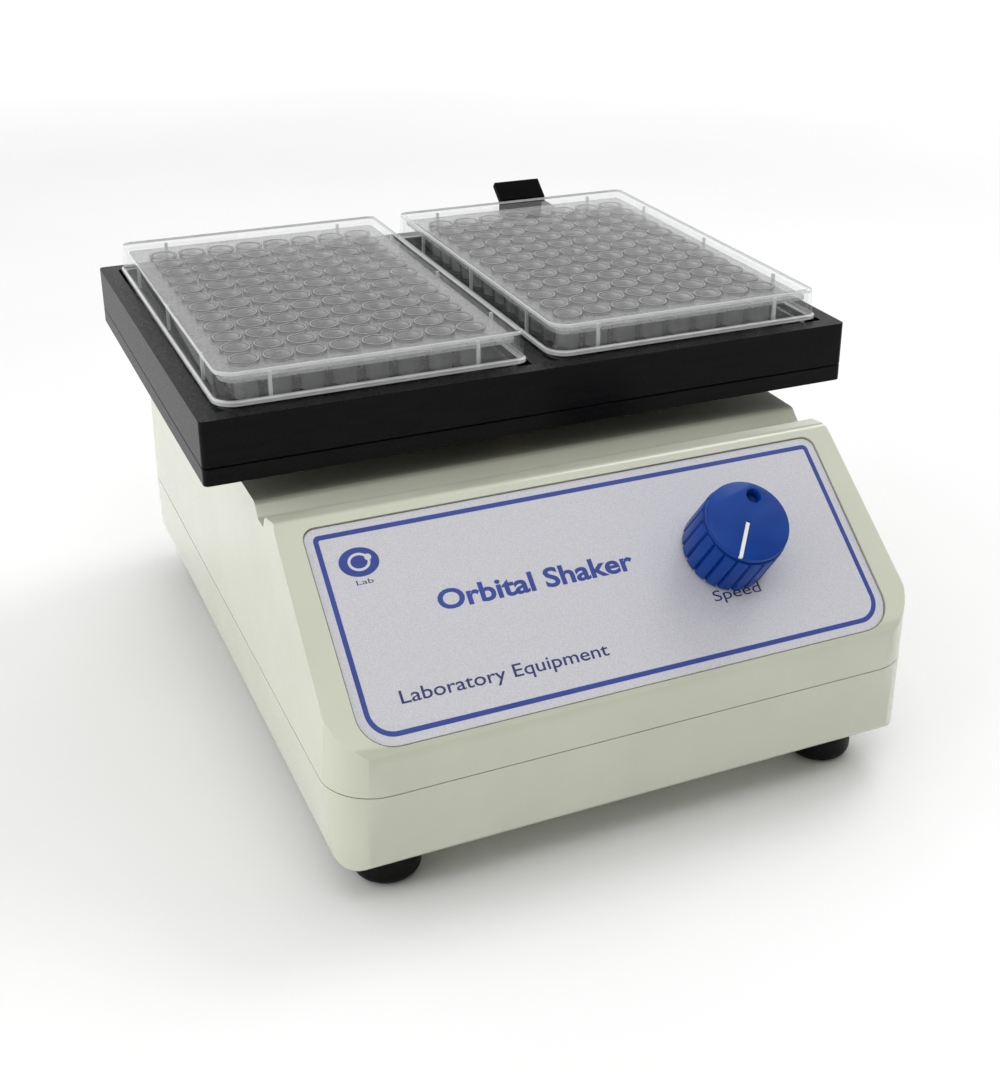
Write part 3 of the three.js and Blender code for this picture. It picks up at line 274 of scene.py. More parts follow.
HOUSING = solid_material(
    "housing_plastic", srgb(203, 206, 187), srgb(208, 211, 192), (0.22, 0.27), mottle=40,
    grain=700, depth=0.01 * MM, strength=0.02, coat=0.4)
LABEL = label_material()
PRINT = solid_material("blue_print", srgb(30, 56, 142), srgb(36, 64, 152), (0.4, 0.5), strength=0.1)
DARK_PRINT = solid_material(
    "navy_print", srgb(30, 38, 100), srgb(36, 45, 110), (0.4, 0.5), strength=0.1)
PALE_PRINT = solid_material("pale_print", srgb(206, 207, 213), srgb(214, 214, 220), (0.4, 0.5))
KNOB = solid_material(
    "knob_plastic", srgb(2, 55, 136), srgb(5, 62, 146), (0.3, 0.38), mottle=120, strength=0.12,
    ior=1.3)
POINTER = solid_material("pointer_inlay", srgb(232, 234, 228), srgb(242, 242, 238), (0.35, 0.45))
PLATFORM = solid_material(
    "platform_black", srgb(3, 3, 3), srgb(9, 9, 9), (0.25, 0.42), mottle=90, grain=1100,
    depth=0.05 * MM, strength=0.2, stretch=(1, 1, 6), ior=1.2)
BLACK = solid_material("black_plastic", srgb(4, 4, 5), srgb(9, 9, 10), (0.35, 0.5), strength=0.3,
                       ior=1.08)
RUBBER = solid_material(
    "black_rubber", srgb(4, 4, 4), srgb(9, 9, 9), (0.4, 0.6), grain=1500, strength=0.4,
    ior=1.25)
ZINC = solid_material(
    "zinc_plate", srgb(176, 178, 176), srgb(196, 198, 198), (0.28, 0.42), metallic=1.0)
STEEL = solid_material(
    "turned_steel", srgb(182, 184, 188), srgb(202, 204, 206), (0.2, 0.34), metallic=1.0,
    stretch=(1, 1, 12))
BRONZE = solid_material(
    "sintered_bronze", srgb(166, 122, 70), srgb(184, 140, 84), (0.4, 0.55), metallic=1.0)
ALUMINIUM = solid_material(
    "machined_aluminium", srgb(196, 198, 200), srgb(214, 216, 217), (0.26, 0.4), metallic=1.0)
BOARD = solid_material("solder_mask", srgb(18, 84, 44), srgb(24, 100, 54), (0.3, 0.45), mottle=300)
IRON = solid_material(
    "varnished_iron", srgb(70, 62, 56), srgb(104, 92, 82), (0.45, 0.6), mottle=200)
LID_CLEAR = clear_material("clear_lid", 0, (0.99, 0.99, 0.99, 1), mirrored=(0.02, 0.25))
LID_WALL = clear_material("clear_lid_wall", 0.01, (0.97, 0.975, 0.975, 1), mirrored=(0.03, 0.5))
# Painted highlights: a thick pale veil on the lids' top edges, ribs and flanges stands in for the light glinting
# along the clear plastic.
LID_EDGE_HIGHLIGHT = clear_material("lid_edge_painted_highlight", 0.6, (0.9, 0.9, 0.9, 1), srgb(226, 228, 228))
LID_FLANGE_HIGHLIGHT = clear_material("lid_flange_painted_highlight", 0.55, (0.93, 0.93, 0.93, 1), srgb(240, 241, 241))
# Painted shade: opaque dark lines on the edges of the wells' lips stand in for the shade the clear plastic shows
# there.
RIM_SHADE_LINE = clear_material("well_rim_painted_shade", 1, (0.4, 0.4, 0.4, 1), srgb(34, 34, 33), (0, 0.02))
RIM_BAND = clear_material("well_rim_band", 0.5, (0.92, 0.92, 0.92, 1), srgb(188, 189, 188),
                          (0.02, 0.2))
# Painted shade darkens the tubes' walls seen edge-on; on the outside a veil that grows edge-on also paints pale
# highlights along them.
TUBE_SHADE = (0.12, 0.12, 0.12, 1)
TUBE_OUTSIDE = clear_material("clear_tube", 0.01, (0.97, 0.97, 0.97, 1), srgb(232, 233, 233),
                              (0.02, 0.5), TUBE_SHADE, edge_painted_highlight=0.25)
TUBE_INSIDE = clear_material("clear_well", 0.36, (0.95, 0.95, 0.95, 1), srgb(216, 217, 216),
                             (0.04, 0.5), TUBE_SHADE)
# Painted shade: a dark grey veil on the wells' floors stands in for the shade seen through the clear plastic.
WELL_FLOOR_SHADE = clear_material("clear_well_floor_painted_shade", 0.6, (0.9, 0.9, 0.9, 1), srgb(120, 120, 119),
                            (0.04, 0.3))
PLATE_DECK = clear_material("clear_plate_deck", 0.42, (0.92, 0.92, 0.92, 1), srgb(178, 179, 178),
                            (0.02, 0.2))

SLOT_MATERIALS = {
    "housing": HOUSING,
    "label": LABEL,
    "knob": KNOB,
    "pointer": POINTER,
    "platform_black": PLATFORM,
    "black_plastic": BLACK,
    "rubber": RUBBER,
    "zinc": ZINC,
    "steel": STEEL,
    "bronze": BRONZE,
    "aluminium": ALUMINIUM,
    "board": BOARD,
    "transformer_iron": IRON,
    "clear_plastic": LID_CLEAR,
}
NODE_SLOTS = {part["node"]: part["material_slot"] for part in frame["record"]["subparts"]}


def paint_cad_nodes():
    for name, node in frame["nodes"].items():
        node.data.materials.clear()
        node.data.materials.append(SLOT_MATERIALS[NODE_SLOTS[name]])


# ------------------------------------------------------------------ mesh helpers


def body_of(node):
    bodies = frame["record"]["behaviour"]["bodies"]
    return next(body for body, members in bodies.items() if node in members)


def add_piece(name, mesh, materials, body, nodes=()):
    """materials is one material, or a list that the faces' own numbers choose from."""
    piece = bpy.data.objects.new(name, mesh)
    bpy.context.scene.collection.objects.link(piece)
    for material in materials if isinstance(materials, list) else [materials]:
        mesh.materials.append(material)
    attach(piece, body)
    if nodes:
        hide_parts(*nodes)
    return piece


def to_mesh(name, bm, smooth_angle=35):
    bmesh.ops.recalc_face_normals(bm, faces=bm.faces)
    mesh = bpy.data.meshes.new(name)
    bm.to_mesh(mesh)
    bm.free()
    shade(mesh, smooth_angle)
    return mesh


def shade(mesh, smooth_angle):
    """Smooth faces with sharp edges where they meet at more than the angle."""
    for face in mesh.polygons:
        face.use_smooth = True
    mesh.set_sharp_from_angle(angle=math.radians(smooth_angle))


def bake_modifiers(piece):
    """Applies the piece's modifiers to its mesh."""
    graph = bpy.context.evaluated_depsgraph_get()
    finished = bpy.data.meshes.new_from_object(piece.evaluated_get(graph))
    piece.modifiers.clear()
    piece.data = finished
    return finished


WELD_DISTANCE = 0.004 * MM
FLAT_ANGLE = 0.6  # degrees between faces that count as one flat
ROUNDED_ANGLE = 28  # degrees from which an edge is rounded
FACE_AREA_WEIGHT = 100


def refine(node, width, segments=3):
    """Rounded-edge version of a CAD node, on the same body."""
    bm = bmesh.new()
    bm.from_mesh(frame["nodes"][node].data)
    bmesh.ops.remove_doubles(bm, verts=bm.verts, dist=WELD_DISTANCE)
    bmesh.ops.dissolve_limit(
        bm, angle_limit=math.radians(FLAT_ANGLE), verts=bm.verts, edges=bm.edges,
        delimit={"NORMAL"})
    mesh = to_mesh(node + "_shape", bm)
    slot = NODE_SLOTS[node]
    piece = add_piece(node + "_shape", mesh, SLOT_MATERIALS[slot], body_of(node), (node,))
    edges = piece.modifiers.new("edges", "BEVEL")
    edges.width = width
    edges.segments = segments
    edges.limit_method = "ANGLE"
    edges.angle_limit = math.radians(ROUNDED_ANGLE)
    edges.use_clamp_overlap = True
    edges.miter_outer = "MITER_ARC"
    level = piece.modifiers.new("level", "WEIGHTED_NORMAL")
    level.weight = FACE_AREA_WEIGHT
    level.keep_sharp = True
    bake_modifiers(piece)
    return piece


def lathe(bm, profile, segments, place=Matrix.Identity(4), material_numbers=None):
    """Revolves (radius, height) points round the placed Z axis. A radius of 0 makes a pole."""
    rings = []
    for radius, height in profile:
        if radius == 0:
            rings.append([bm.verts.new(place @ Vector((0, 0, height)))])
            continue
        rings.append([
            bm.verts.new(place @ Vector((
                radius * math.cos(2 * math.pi * i / segments),
                radius * math.sin(2 * math.pi * i / segments), height)))
            for i in range(segments)
        ])
    for k, (lower, upper) in enumerate(zip(rings, rings[1:])):
        for i in range(segments):
            j = (i + 1) % segments
            corners = [lower[i % len(lower)], lower[j % len(lower)],
                       upper[j % len(upper)], upper[i % len(upper)]]
            corners = list(dict.fromkeys(corners))
            if len(corners) > 2:
                face = bm.faces.new(corners)
                face.material_index = material_numbers[k] if material_numbers else 0


def rounded_outline(x0, x1, y0, y1, radii, steps):
    """Rectangle with its own corner radius front left, front right, rear right, rear left."""
    centres = (
        (x0, y0, 1, 1, math.pi), (x1, y0, -1, 1, 1.5 * math.pi),
        (x1, y1, -1, -1, 0), (x0, y1, 1, -1, 0.5 * math.pi),
    )
    points = []
    for (x, y, sx, sy, start), radius in zip(centres, radii):
        for i in range(steps + 1):
            angle = start + 0.5 * math.pi * i / steps
            points.append((
                x + sx * radius + radius * math.cos(angle),
                y + sy * radius + radius * math.sin(angle),
            ))
    return points


def loft(bm, loops, closed=False, material_numbers=()):
    """Joins loops of (x, y, z) points of equal count; closed joins the last to the first."""
    rings = [[bm.verts.new(point) for point in loop] for loop in loops]
    pairs = list(zip(rings, rings[1:]))
    if closed:
        pairs.append((rings[-1], rings[0]))
    for k, (lower, upper) in enumerate(pairs):
        for i in range(len(lower)):
            j = (i + 1) % len(lower)
            face = bm.faces.new((lower[i], lower[j], upper[j], upper[i]))
            if material_numbers:
                face.material_index = material_numbers[k]
    return rings


def hoop(bm, x, y, inner, outer, z0, z1, segments, number):
    """Flat ring round an upright axis, with its faces' material number."""
    section = ((inner, z0), (outer, z0), (outer, z1), (inner, z1))
    loft(bm, [[(px, py, z) for px, py in ellipse(x, y, r, r, segments)] for r, z in section],
         closed=True, material_numbers=[number] * 4)


def add_box(bm, x0, x1, y0, y1, z0, z1):
    corners = [bm.verts.new((x, y, z)) for z in (z0, z1) for x, y in (
        (x0, y0), (x1, y0), (x1, y1), (x0, y1))]
    sides = ((3, 2, 1, 0), (4, 5, 6, 7), (0, 1, 5, 4), (1, 2, 6, 5), (2, 3, 7, 6), (3, 0, 4, 7))
    for face in sides:
        bm.faces.new([corners[i] for i in face])


# ------------------------------------------------------------------ housing

EDGE_ROUND = 0.7 * MM


def make_housing():
    refine("top_cover", EDGE_ROUND)
    refine("bottom_tray", 0.45 * MM, segments=2)
    refine("switch_frame", 0.5 * MM)
    refine("switch_rocker", 0.5 * MM)
    refine("power_inlet", 0.3 * MM, segments=2)
    for corner in CORNERS:
        make_foot(corner)


def make_foot(corner):
    """Round rubber foot with a bulging side and a screw recess underneath."""
    low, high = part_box(f"foot_{corner}")
    radius = (high.x - low.x) / 2
    height = high.z - low.z
    middle = (low + high) / 2
    round_edge = 3 * MM
    recess = 4.4 * MM
    profile = [(0, height - 6 * MM), (recess, height - 6 * MM), (recess, 0.4 * MM)]
    profile += [(recess + 0.4 * MM, 0), (radius - round_edge, 0)]
    for i in range(1, 9):
        angle = 0.5 * math.pi * i / 8
        profile.append((
            radius - round_edge + round_edge * math.sin(angle),
            round_edge - round_edge * math.cos(angle),
        ))
    profile += [(radius * 0.985, height * 0.6), (radius * 0.97, height - 0.6 * MM)]
    profile += [(radius * 0.97 - 0.6 * MM, height), (0, height)]
    bm = bmesh.new()
    lathe(bm, profile, 56, Matrix.Translation((middle.x, middle.y, low.z)))
    add_piece(f"rubber_foot_{corner}", to_mesh("foot", bm), RUBBER, "base",
              (f"foot_{corner}",))


# ------------------------------------------------------------------ control panel

knob_joint = next(j for j in frame["joints"] if j["name"] == "knob_turn")
PANEL_TILT = math.atan2(knob_joint["axis"][1], -knob_joint["axis"][2])
LABEL_THICKNESS = 0.5 * MM
label_low, label_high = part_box("front_label")
LABEL_LENGTH = (
    label_high.z - label_low.z - LABEL_THICKNESS * math.cos(PANEL_TILT)
) / math.sin(PANEL_TILT)
LABEL_HALF_WIDTH = (label_high.x - label_low.x) / 2
PANEL = Matrix.Translation((
    (label_low.x + label_high.x) / 2,
    label_low.y,
    label_high.z - LABEL_LENGTH * math.sin(PANEL_TILT),
)) @ Matrix.Rotation(PANEL_TILT, 4, "X")
KNOB_PLACE = PANEL.inverted() @ Vector(knob_joint["pos_m"])
INK = 0.03 * MM


def flat_print(name, outlines, material, lift=0.0):
    """Thin closed print on the label. Each outline after the first is a hole in it."""
    curve = bpy.data.curves.new(name, "CURVE")
    curve.dimensions = "2D"
    curve.fill_mode = "BOTH"
    curve.extrude = INK / 2
    for outline in outlines:
        spline = curve.splines.new("POLY")
        spline.points.add(len(outline) - 1)
        for point, (x, y) in zip(spline.points, outline):
            point.co = (x, y, 0, 1)
        spline.use_cyclic_u = True
    place_print(name, curve, material, lift)


def place_print(name, curve, material, lift=0.0, fit=None):
    """Turns a curve into a mesh lying on the label; fit stretches lettering to its place."""
    holder = bpy.data.objects.new(name + "_curve", curve)
    bpy.context.scene.collection.objects.link(holder)
    graph = bpy.context.evaluated_depsgraph_get()
    mesh = bpy.data.meshes.new_from_object(holder.evaluated_get(graph))
    bpy.data.objects.remove(holder)
    if fit:
        fit(mesh)
    bm = bmesh.new()
    bm.from_mesh(mesh)
    bmesh.ops.remove_doubles(bm, verts=bm.verts, dist=0.001 * MM)
    bm.to_mesh(mesh)
    bm.free()
    mesh.transform(PANEL @ Matrix.Translation((0, 0, INK / 2 + lift)))
    add_piece(name, mesh, material, "base")


def lettering(name, words, left, right, baseline, cap_height, material, weight=0.0):
    curve = bpy.data.curves.new(name, "FONT")
    curve.body = words
    curve.extrude = INK / 2
    curve.size = cap_height / 0.7
    curve.offset = weight
    curve.resolution_u = 4

    def fit(mesh):
        xs = [v.co.x for v in mesh.vertices]
        stretch = (right - left) / (max(xs) - min(xs))
        for vertex in mesh.vertices:
            vertex.co.x = left + (vertex.co.x - min(xs)) * stretch
            vertex.co.y += baseline
    place_print(name, curve, material, fit=fit)


def ellipse(x, y, half_width, half_height, steps=48):
    return [
        (x + half_width * math.cos(2 * math.pi * i / steps),
         y + half_height * math.sin(2 * math.pi * i / steps))
        for i in range(steps)
    ]


def make_label():
    refine("front_label", 0.12 * MM, segments=2)
    line = 1.3 * MM
    side = LABEL_HALF_WIDTH - 2.2 * MM
    bottom = 2.3 * MM
    top = LABEL_LENGTH - 2.05 * MM
    flat_print("label_border", [
        rounded_outline(-side, side, bottom, top, (7 * MM, 7 * MM, 1.6 * MM, 1.6 * MM), 12),
        rounded_outline(-side + line, side - line, bottom + line, top - line,
                        (5.7 * MM, 5.7 * MM, 0.6 * MM, 0.6 * MM), 12),
    ], PRINT)
    lettering("label_title", "Orbital Shaker", -46.4 * MM, 8.1 * MM, 31 * MM, 5.2 * MM, PRINT,
              weight=0.2 * MM)
    lettering("label_footer", "Laboratory Equipment", -62.9 * MM, -7.3 * MM, 9.8 * MM, 3.4 * MM,
              DARK_PRINT, weight=0.03 * MM)
    lettering("label_speed", "Speed", 26.5 * MM, 40.7 * MM, 17.3 * MM, 3 * MM, DARK_PRINT)
    make_icon(-62.8 * MM, 48 * MM)


def make_icon(x, y):
    """A plain orbit sign: an oval with a ring and a dot in it."""
    flat_print("icon_oval", [ellipse(x, y, 5.2 * MM, 4 * MM)], PRINT)
    flat_print("icon_ring", [
        ellipse(x, y, 2.9 * MM, 2.5 * MM), ellipse(x, y, 2.2 * MM, 1.8 * MM),
    ], PALE_PRINT, lift=INK)
    flat_print("icon_dot", [ellipse(x + 2.5 * MM, y + 0.9 * MM, 0.9 * MM, 0.9 * MM)], PALE_PRINT,
               lift=2 * INK)
    lettering("icon_caption", "Lab", x - 2.2 * MM, x + 2.2 * MM, y - 6.1 * MM, 1.3 * MM, DARK_PRINT)


FLUTES = 20
FLUTE_DEPTH = 0.75 * MM
FLUTE_WIDTH = 0.3  # share of a rib's turn taken by its groove
KNOB_SMOOTH_ANGLE = 30


def flute(angle):
    """How deep the grip is cut at an angle, from 0 to 1."""
    turn = (angle * FLUTES / (2 * math.pi)) % 1
    away = min(turn, 1 - turn) / (FLUTE_WIDTH / 2)
    return 0 if away >= 1 else 0.5 + 0.5 * math.cos(math.pi * away)


def make_knob():
    """Fluted grip under a smooth cap, with a dimple and a slot for the pointer."""
    radius = 12.1 * MM
    cap = 11.5 * MM
    bottom = 0.6 * MM
    shoulder = 15.4 * MM
    top = 17.6 * MM
    segments = FLUTES * 14
    pointer = pointer_angle()
    rows = [
        (radius + 0.1 * MM, bottom, 1), (radius + 0.15 * MM, bottom + 0.3 * MM, 1),
        (radius - 0.1 * MM, shoulder - 1 * MM, 1), (radius - 0.35 * MM, shoulder - 0.3 * MM, 0.8),
        (radius - 1.3 * MM, shoulder, 0), (cap - 0.7 * MM, shoulder + 0.1 * MM, 0),
        (cap - 0.55 * MM, shoulder + 0.5 * MM, 0), (cap, shoulder + 0.7 * MM, 0),
        (cap, top - 0.5 * MM, 0), (cap - 0.15 * MM, top - 0.15 * MM, 0),
        (cap - 0.5 * MM, top, 0),
    ]
    bm = bmesh.new()
    rings = []
    for r, z, cut in rows:
        ring = []
        for i in range(segments):
            angle = 2 * math.pi * i / segments
            reach = r - FLUTE_DEPTH * cut * flute(angle)
            ring.append(bm.verts.new((reach * math.cos(angle), reach * math.sin(angle), z)))
        rings.append(ring)
    for lower, upper in zip(rings, rings[1:]):
        for i in range(segments):
            j = (i + 1) % segments
            bm.faces.new((lower[i], lower[j], upper[j], upper[i]))
    bm.faces.new(rings[-1])
    bm.faces.new(list(reversed(rings[0])))
    mesh = to_mesh("knob_grip", bm, KNOB_SMOOTH_ANGLE)
    place = PANEL @ Matrix.Translation(KNOB_PLACE) @ Matrix.Rotation(pointer, 4, "Z")
    mesh.transform(place)
    knob = add_piece("knob_grip", mesh, KNOB, "knob", ("speed_knob",))
    carve(knob, knob_cutter(place, cap, top))


def pointer_angle():
    """Direction of the pointer round the knob's axis, from the pointer's own middle."""
    low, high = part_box("knob_pointer")
    middle = PANEL.inverted() @ ((low + high) / 2) - KNOB_PLACE
    return math.atan2(middle.y, middle.x)


def knob_cutter(place, cap, top):
    """Solid of the dimple, the pointer's slot and the hollow underneath."""
    bm = bmesh.new()
    dimple = [(0, top - 3 * MM), (1.5 * MM, top - 2.7 * MM), (1.95 * MM, top - 0.3 * MM)]
    dimple += [(2.2 * MM, top + 0.01 * MM), (2.2 * MM, top + 1 * MM), (0, top + 1 * MM)]
    lathe(bm, dimple, 40, Matrix.Translation((-7.8 * MM, 0, 0)))
    slot_half = 0.62 * MM
    add_box(bm, 0.4 * MM, cap + 2 * MM, -slot_half, slot_half, top - 1.3 * MM, top + 1 * MM)
    lathe(bm, [(0, 0), (8 * MM, 0), (8 * MM, 5.5 * MM), (0, 5.5 * MM)], 48)
    mesh = to_mesh("knob_cutter", bm)
    mesh.transform(place)
    return mesh


def carve(piece, cutter_mesh):
    cutter = bpy.data.objects.new("cutter", cutter_mesh)
    bpy.context.scene.collection.objects.link(cutter)
    cut = piece.modifiers.new("cut", "BOOLEAN")
    cut.operation = "DIFFERENCE"
    cut.solver = "EXACT"
    cut.object = cutter
    shade(bake_modifiers(piece), KNOB_SMOOTH_ANGLE)
    bpy.data.objects.remove(cutter)


# ------------------------------------------------------------------ platform and clamp


def make_platform():
    refine("platform_plate", 0.35 * MM)
    refine("platform_tray", 0.45 * MM)
    refine("clamp_bracket", 0.3 * MM, segments=2)
    refine("clamp_lever", 0.4 * MM)
    make_spring()


def make_spring():
    """Torsion spring round the clamp pin."""
    low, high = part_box("clamp_spring")
    middle = (low + high) / 2
    wire = 0.4 * MM
    radius = (high.z - low.z) / 2 - wire
    turns = 5
    steps = 30 * turns
    sides = 10
    bm = bmesh.new()
    loops = []
    for i in range(steps + 1):
        angle = 2 * math.pi * turns * i / steps
        x = low.x + wire + (high.x - low.x - 2 * wire) * i / steps
        out = Vector((0, math.cos(angle), math.sin(angle)))
        centre = Vector((x, middle.y, middle.z)) + out * radius
        loops.append([
            centre + out * wire * math.cos(2 * math.pi * k / sides)
            + Vector((1, 0, 0)) * wire * math.sin(2 * math.pi * k / sides)
            for k in range(sides)
        ])
    rings = loft(bm, loops)
    bm.faces.new(rings[0])
    bm.faces.new(rings[-1])
    add_piece("spring_coil", to_mesh("spring_coil", bm), STEEL, "platform",
              ("clamp_spring",))


# ------------------------------------------------------------------ microplates and lids

WELL_PITCH = 9 * MM
WELLS_ACROSS = 8
WELLS_ALONG = 12
TUBE_OUTER = 4.15 * MM
TUBE_INNER = 3.4 * MM
TUBE_SEGMENTS = 28
OUTSIDE_LOOK, INSIDE_LOOK, FLOOR_SHADE_LOOK, DECK_LOOK = range(4)
PLATE_LOOKS = [TUBE_OUTSIDE, TUBE_INSIDE, WELL_FLOOR_SHADE, PLATE_DECK]


def plate_outline(low, high, inset, z, front_left, others):
    return [(x, y, z) for x, y in rounded_outline(
        low.x + inset, high.x - inset, low.y + inset, high.y - inset,
        (front_left, others, others, others), 6)]


def well_centres(low, high):
    middle = (low + high) / 2
    for column in range(WELLS_ACROSS):
        for row in range(WELLS_ALONG):
            yield (
                middle.x + (column - (WELLS_ACROSS - 1) / 2) * WELL_PITCH,
                middle.y + (row - (WELLS_ALONG - 1) / 2) * WELL_PITCH,
            )


def make_deck(bm, low, high, z0, z1, inset):
    """Flat sheet with a round hole for each tube."""
    curve = bpy.data.curves.new("deck", "CURVE")
    curve.dimensions = "2D"
    curve.fill_mode = "BOTH"
    curve.extrude = (z1 - z0) / 2
    outline = [(x, y) for x, y, _ in plate_outline(low, high, inset, 0, 5 * MM, 2 * MM)]
    hole = (TUBE_OUTER + TUBE_INNER) / 2
    outlines = [outline] + [
        ellipse(x, y, hole, hole, TUBE_SEGMENTS) for x, y in well_centres(low, high)
    ]
    for points in outlines:
        spline = curve.splines.new("POLY")
        spline.points.add(len(points) - 1)
        for point, (x, y) in zip(spline.points, points):
            point.co = (x, y, 0, 1)
        spline.use_cyclic_u = True
    holder = bpy.data.objects.new("deck", curve)
    bpy.context.scene.collection.objects.link(holder)
    graph = bpy.context.evaluated_depsgraph_get()
    mesh = bpy.data.meshes.new_from_object(holder.evaluated_get(graph))
    bpy.data.objects.remove(holder)
    mesh.transform(Matrix.Translation((0, 0, (z0 + z1) / 2)))
    for face in mesh.polygons:
        face.material_index = DECK_LOOK
    bm.from_mesh(mesh)
    bpy.data.meshes.remove(mesh)


def make_microplate(side):
    node = f"microplate_{side}"
    low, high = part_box(node)
    bm = bmesh.new()
    skirt = 2.4 * MM
    wall = 1.9 * MM
    shelf = 5.2 * MM
    ring = [
        (0, low.z, 6), (0, low.z + skirt, 6), (wall, low.z + skirt, 5), (wall, low.z + shelf, 5),
        (wall + 1.1 * MM, low.z + shelf, 4), (wall + 1.1 * MM, low.z + 1.2 * MM, 4),
        (1.2 * MM, low.z + 1.2 * MM, 5), (1.2 * MM, low.z, 5),
    ]
    loft(bm, [plate_outline(low, high, inset, z, r * MM, 0.45 * r * MM) for inset, z, r in ring],
         closed=True)
    deck_top = high.z - 1 * MM
    make_deck(bm, low, high, deck_top - 1 * MM, deck_top, 2.6 * MM)
    bottom = low.z + 2.3 * MM
    floor = high.z - 10.9 * MM
    tube = [
        (0, bottom), (TUBE_OUTER - 0.9 * MM, bottom), (TUBE_OUTER - 0.45 * MM, bottom + 0.3 * MM),
        (TUBE_OUTER, high.z - 0.2 * MM), (TUBE_OUTER - 0.15 * MM, high.z),
        (TUBE_INNER + 0.15 * MM, high.z), (TUBE_INNER, high.z - 0.25 * MM),
        (TUBE_INNER - 0.3 * MM, floor + 0.4 * MM), (TUBE_INNER - 0.7 * MM, floor), (0, floor),
    ]
    looks = [OUTSIDE_LOOK] * 4 + [INSIDE_LOOK] * 3 + [FLOOR_SHADE_LOOK] * 2
    for x, y in well_centres(low, high):
        lathe(bm, tube, TUBE_SEGMENTS, Matrix.Translation((x, y, 0)), looks)
    add_piece(f"plate_{side}_wells", to_mesh(node, bm), PLATE_LOOKS, body_of(node),
              (node,))
    make_rims(side, low, high)


def make_rims(side, low, high):
    """Lips of the wells, whose two edges carry thin dark lines of painted shade."""
    bm = bmesh.new()
    line = 0.26 * MM
    z0 = high.z - 0.12 * MM
    z1 = high.z - 0.01 * MM
    for x, y in well_centres(low, high):
        hoop(bm, x, y, TUBE_OUTER - line, TUBE_OUTER + 0.02 * MM, z0, z1, TUBE_SEGMENTS, 0)
        hoop(bm, x, y, TUBE_INNER - 0.02 * MM, TUBE_INNER + line, z0, z1, TUBE_SEGMENTS, 0)
        hoop(bm, x, y, TUBE_INNER + line, TUBE_OUTER - line, z0, z1 - 0.03 * MM, TUBE_SEGMENTS, 1)
    add_piece(f"plate_{side}_rims", to_mesh("well_rims", bm), [RIM_SHADE_LINE, RIM_BAND],
              body_of(f"microplate_{side}"))


def make_lid(side):
    node = f"plate_lid_{side}"
    low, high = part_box(node)
    inset = 0.55 * MM
    wall = 1 * MM
    flange = 1.2 * MM
    roof = high.z - 1.1 * MM
    rows = [
        (0.15, low.z, 6), (0, low.z + 0.15 * MM, 6), (0, low.z + flange - 0.2 * MM, 6),
        (0.15, low.z + flange, 6), (0.45, low.z + flange + 0.1 * MM, 5.6),
        (0.55, low.z + flange + 0.4 * MM, 5.5), (0.9, high.z - 0.9 * MM, 5.3),
        (0.95, high.z - 0.2 * MM, 5.2), (1.2, high.z, 5), (1.9, high.z, 4.4),
        (2.1, high.z - 0.55 * MM, 4.2),
    ]
    inner = [
        (2.2, roof - 0.1 * MM, 4.1), (1.75, roof - 0.5 * MM, 4.3),
        (1.55, low.z + flange, 4.5), (1.5, low.z, 4.5),
    ]
    bm = bmesh.new()
    # The edge and rim faces carry the lids' painted highlights.
    sheet, side_wall, edge, rim = range(4)
    outer_looks = [rim, rim, rim, rim, edge, side_wall, edge, edge, sheet, edge]
    inner_looks = [sheet, side_wall, side_wall]
    outer_rings = loft(bm, [plate_outline(low, high, i * MM, z, r * MM, 0.45 * r * MM)
                            for i, z, r in rows], material_numbers=outer_looks)
    inner_rings = loft(bm, [plate_outline(low, high, i * MM, z, r * MM, 0.45 * r * MM)
                            for i, z, r in inner], material_numbers=inner_looks)
    bm.faces.new(outer_rings[-1])
    bm.faces.new(inner_rings[0])
    first, last = outer_rings[0], inner_rings[-1]
    for i in range(len(first)):
        j = (i + 1) % len(first)
        face = bm.faces.new((last[i], last[j], first[j], first[i]))
        face.material_index = rim
    add_piece(f"lid_{side}_shell", to_mesh(node, bm), [LID_CLEAR, LID_WALL, LID_EDGE_HIGHLIGHT, LID_FLANGE_HIGHLIGHT],
              body_of(node), (node,))
    make_lid_ribs(side, low, high, inset, wall)


RIBS_ACROSS = (14.6 * MM, 71.4 * MM)
RIBS_ALONG = (22 * MM, 64 * MM)
RIB_REACH = 0.8 * MM


def make_lid_ribs(side, low, high, inset, wall):
    """Short upright ribs inside the lid's walls."""
    bm = bmesh.new()
    half = 0.45 * MM
    bottom = low.z + 0.2 * MM
    top = high.z - 1.3 * MM
    for x in (low.x + RIBS_ACROSS[0], low.x + RIBS_ACROSS[1]):
        for y, inward in ((low.y + inset, 1), (high.y - inset, -1)):
            y0, y1 = sorted((y + inward * wall, y + inward * (wall + RIB_REACH)))
            add_box(bm, x - half, x + half, y0, y1, bottom, top)
    for y in (low.y + RIBS_ALONG[0], low.y + RIBS_ALONG[1], high.y - RIBS_ALONG[0]):
        for x, inward in ((low.x + inset, 1), (high.x - inset, -1)):
            x0, x1 = sorted((x + inward * wall, x + inward * (wall + RIB_REACH)))
            add_box(bm, x0, x1, y - half, y + half, bottom, top)
    body = body_of(f"plate_lid_{side}")
    # The ribs take the lids' painted edge highlight.
    add_piece(f"lid_{side}_ribs", to_mesh("lid_ribs", bm), LID_EDGE_HIGHLIGHT, body)


# ------------------------------------------------------------------ the scene

FLOOR = 12.0  # half its width
FLOOR_THICKNESS = 0.01
GLOW_FROM, GLOW_TO = 0.6, 1.8  # distance from the machine over which the floor's glow grows
GLOW = 0.6


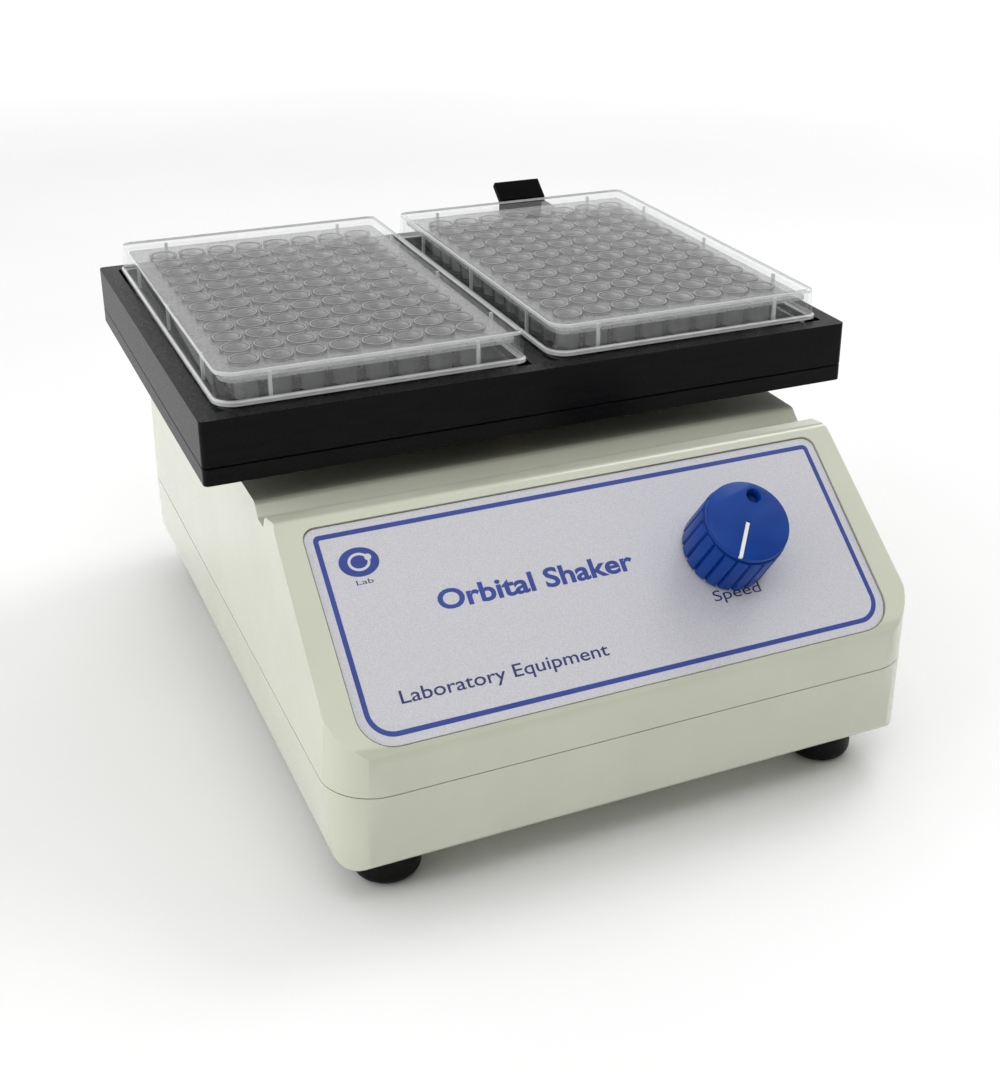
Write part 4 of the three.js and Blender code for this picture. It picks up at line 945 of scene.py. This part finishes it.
def floor_material():
    """Pale floor that brightens far away, where the lamps no longer reach it."""
    material = solid_material(
        "pale_floor", srgb(244, 244, 244), srgb(248, 248, 248), (0.7, 0.8), mottle=3, strength=0.02)
    nodes, links = material.node_tree.nodes, material.node_tree.links
    place = nodes.new("ShaderNodeTexCoord")
    distance = nodes.new("ShaderNodeVectorMath")
    distance.operation = "LENGTH"
    links.new(place.outputs["Object"], distance.inputs[0])
    far = nodes.new("ShaderNodeMapRange")
    far.interpolation_type = "SMOOTHSTEP"
    far.inputs["From Min"].default_value = GLOW_FROM
    far.inputs["From Max"].default_value = GLOW_TO
    far.inputs["To Min"].default_value = 0
    far.inputs["To Max"].default_value = GLOW
    links.new(distance.outputs["Value"], far.inputs["Value"])
    shader = nodes["Principled BSDF"]
    shader.inputs["Emission Color"].default_value = (1, 1, 1, 1)
    links.new(far.outputs["Result"], shader.inputs["Emission Strength"])
    return material


FRONT_LIGHT, REST_LIGHT = 0.04, 1.05
CLEAR_BOUNCES = 96
BOUNCES = 12

make_camera()
make_world(FRONT_LIGHT, REST_LIGHT)
make_light("key", (0.55, 0.15, 0.9), (0, 0, 0.06), (0.4, 0.4), 2)
make_light("left_fill", (-1.0, -0.1, 0.35), (0, 0, 0.06), (0.9, 0.6), 1.8)
make_light("front_high", (-0.15, -0.55, 0.95), (0, -0.09, 0.06), (0.6, 0.25), 1.5)

floor_bm = bmesh.new()
add_box(floor_bm, -FLOOR, FLOOR, -FLOOR, FLOOR, -FLOOR_THICKNESS, 0)
floor = bpy.data.objects.new("floor", to_mesh("floor", floor_bm))
bpy.context.scene.collection.objects.link(floor)
floor.data.materials.append(floor_material())

paint_cad_nodes()
make_housing()
make_label()
make_knob()
refine("knob_pointer", 0.1 * MM, segments=2)
make_platform()
for plate_side in SIDES:
    make_microplate(plate_side)
    make_lid(plate_side)

scene = bpy.context.scene
scene.view_settings.view_transform = "Standard"
scene.cycles.transparent_max_bounces = CLEAR_BOUNCES
scene.cycles.max_bounces = BOUNCES
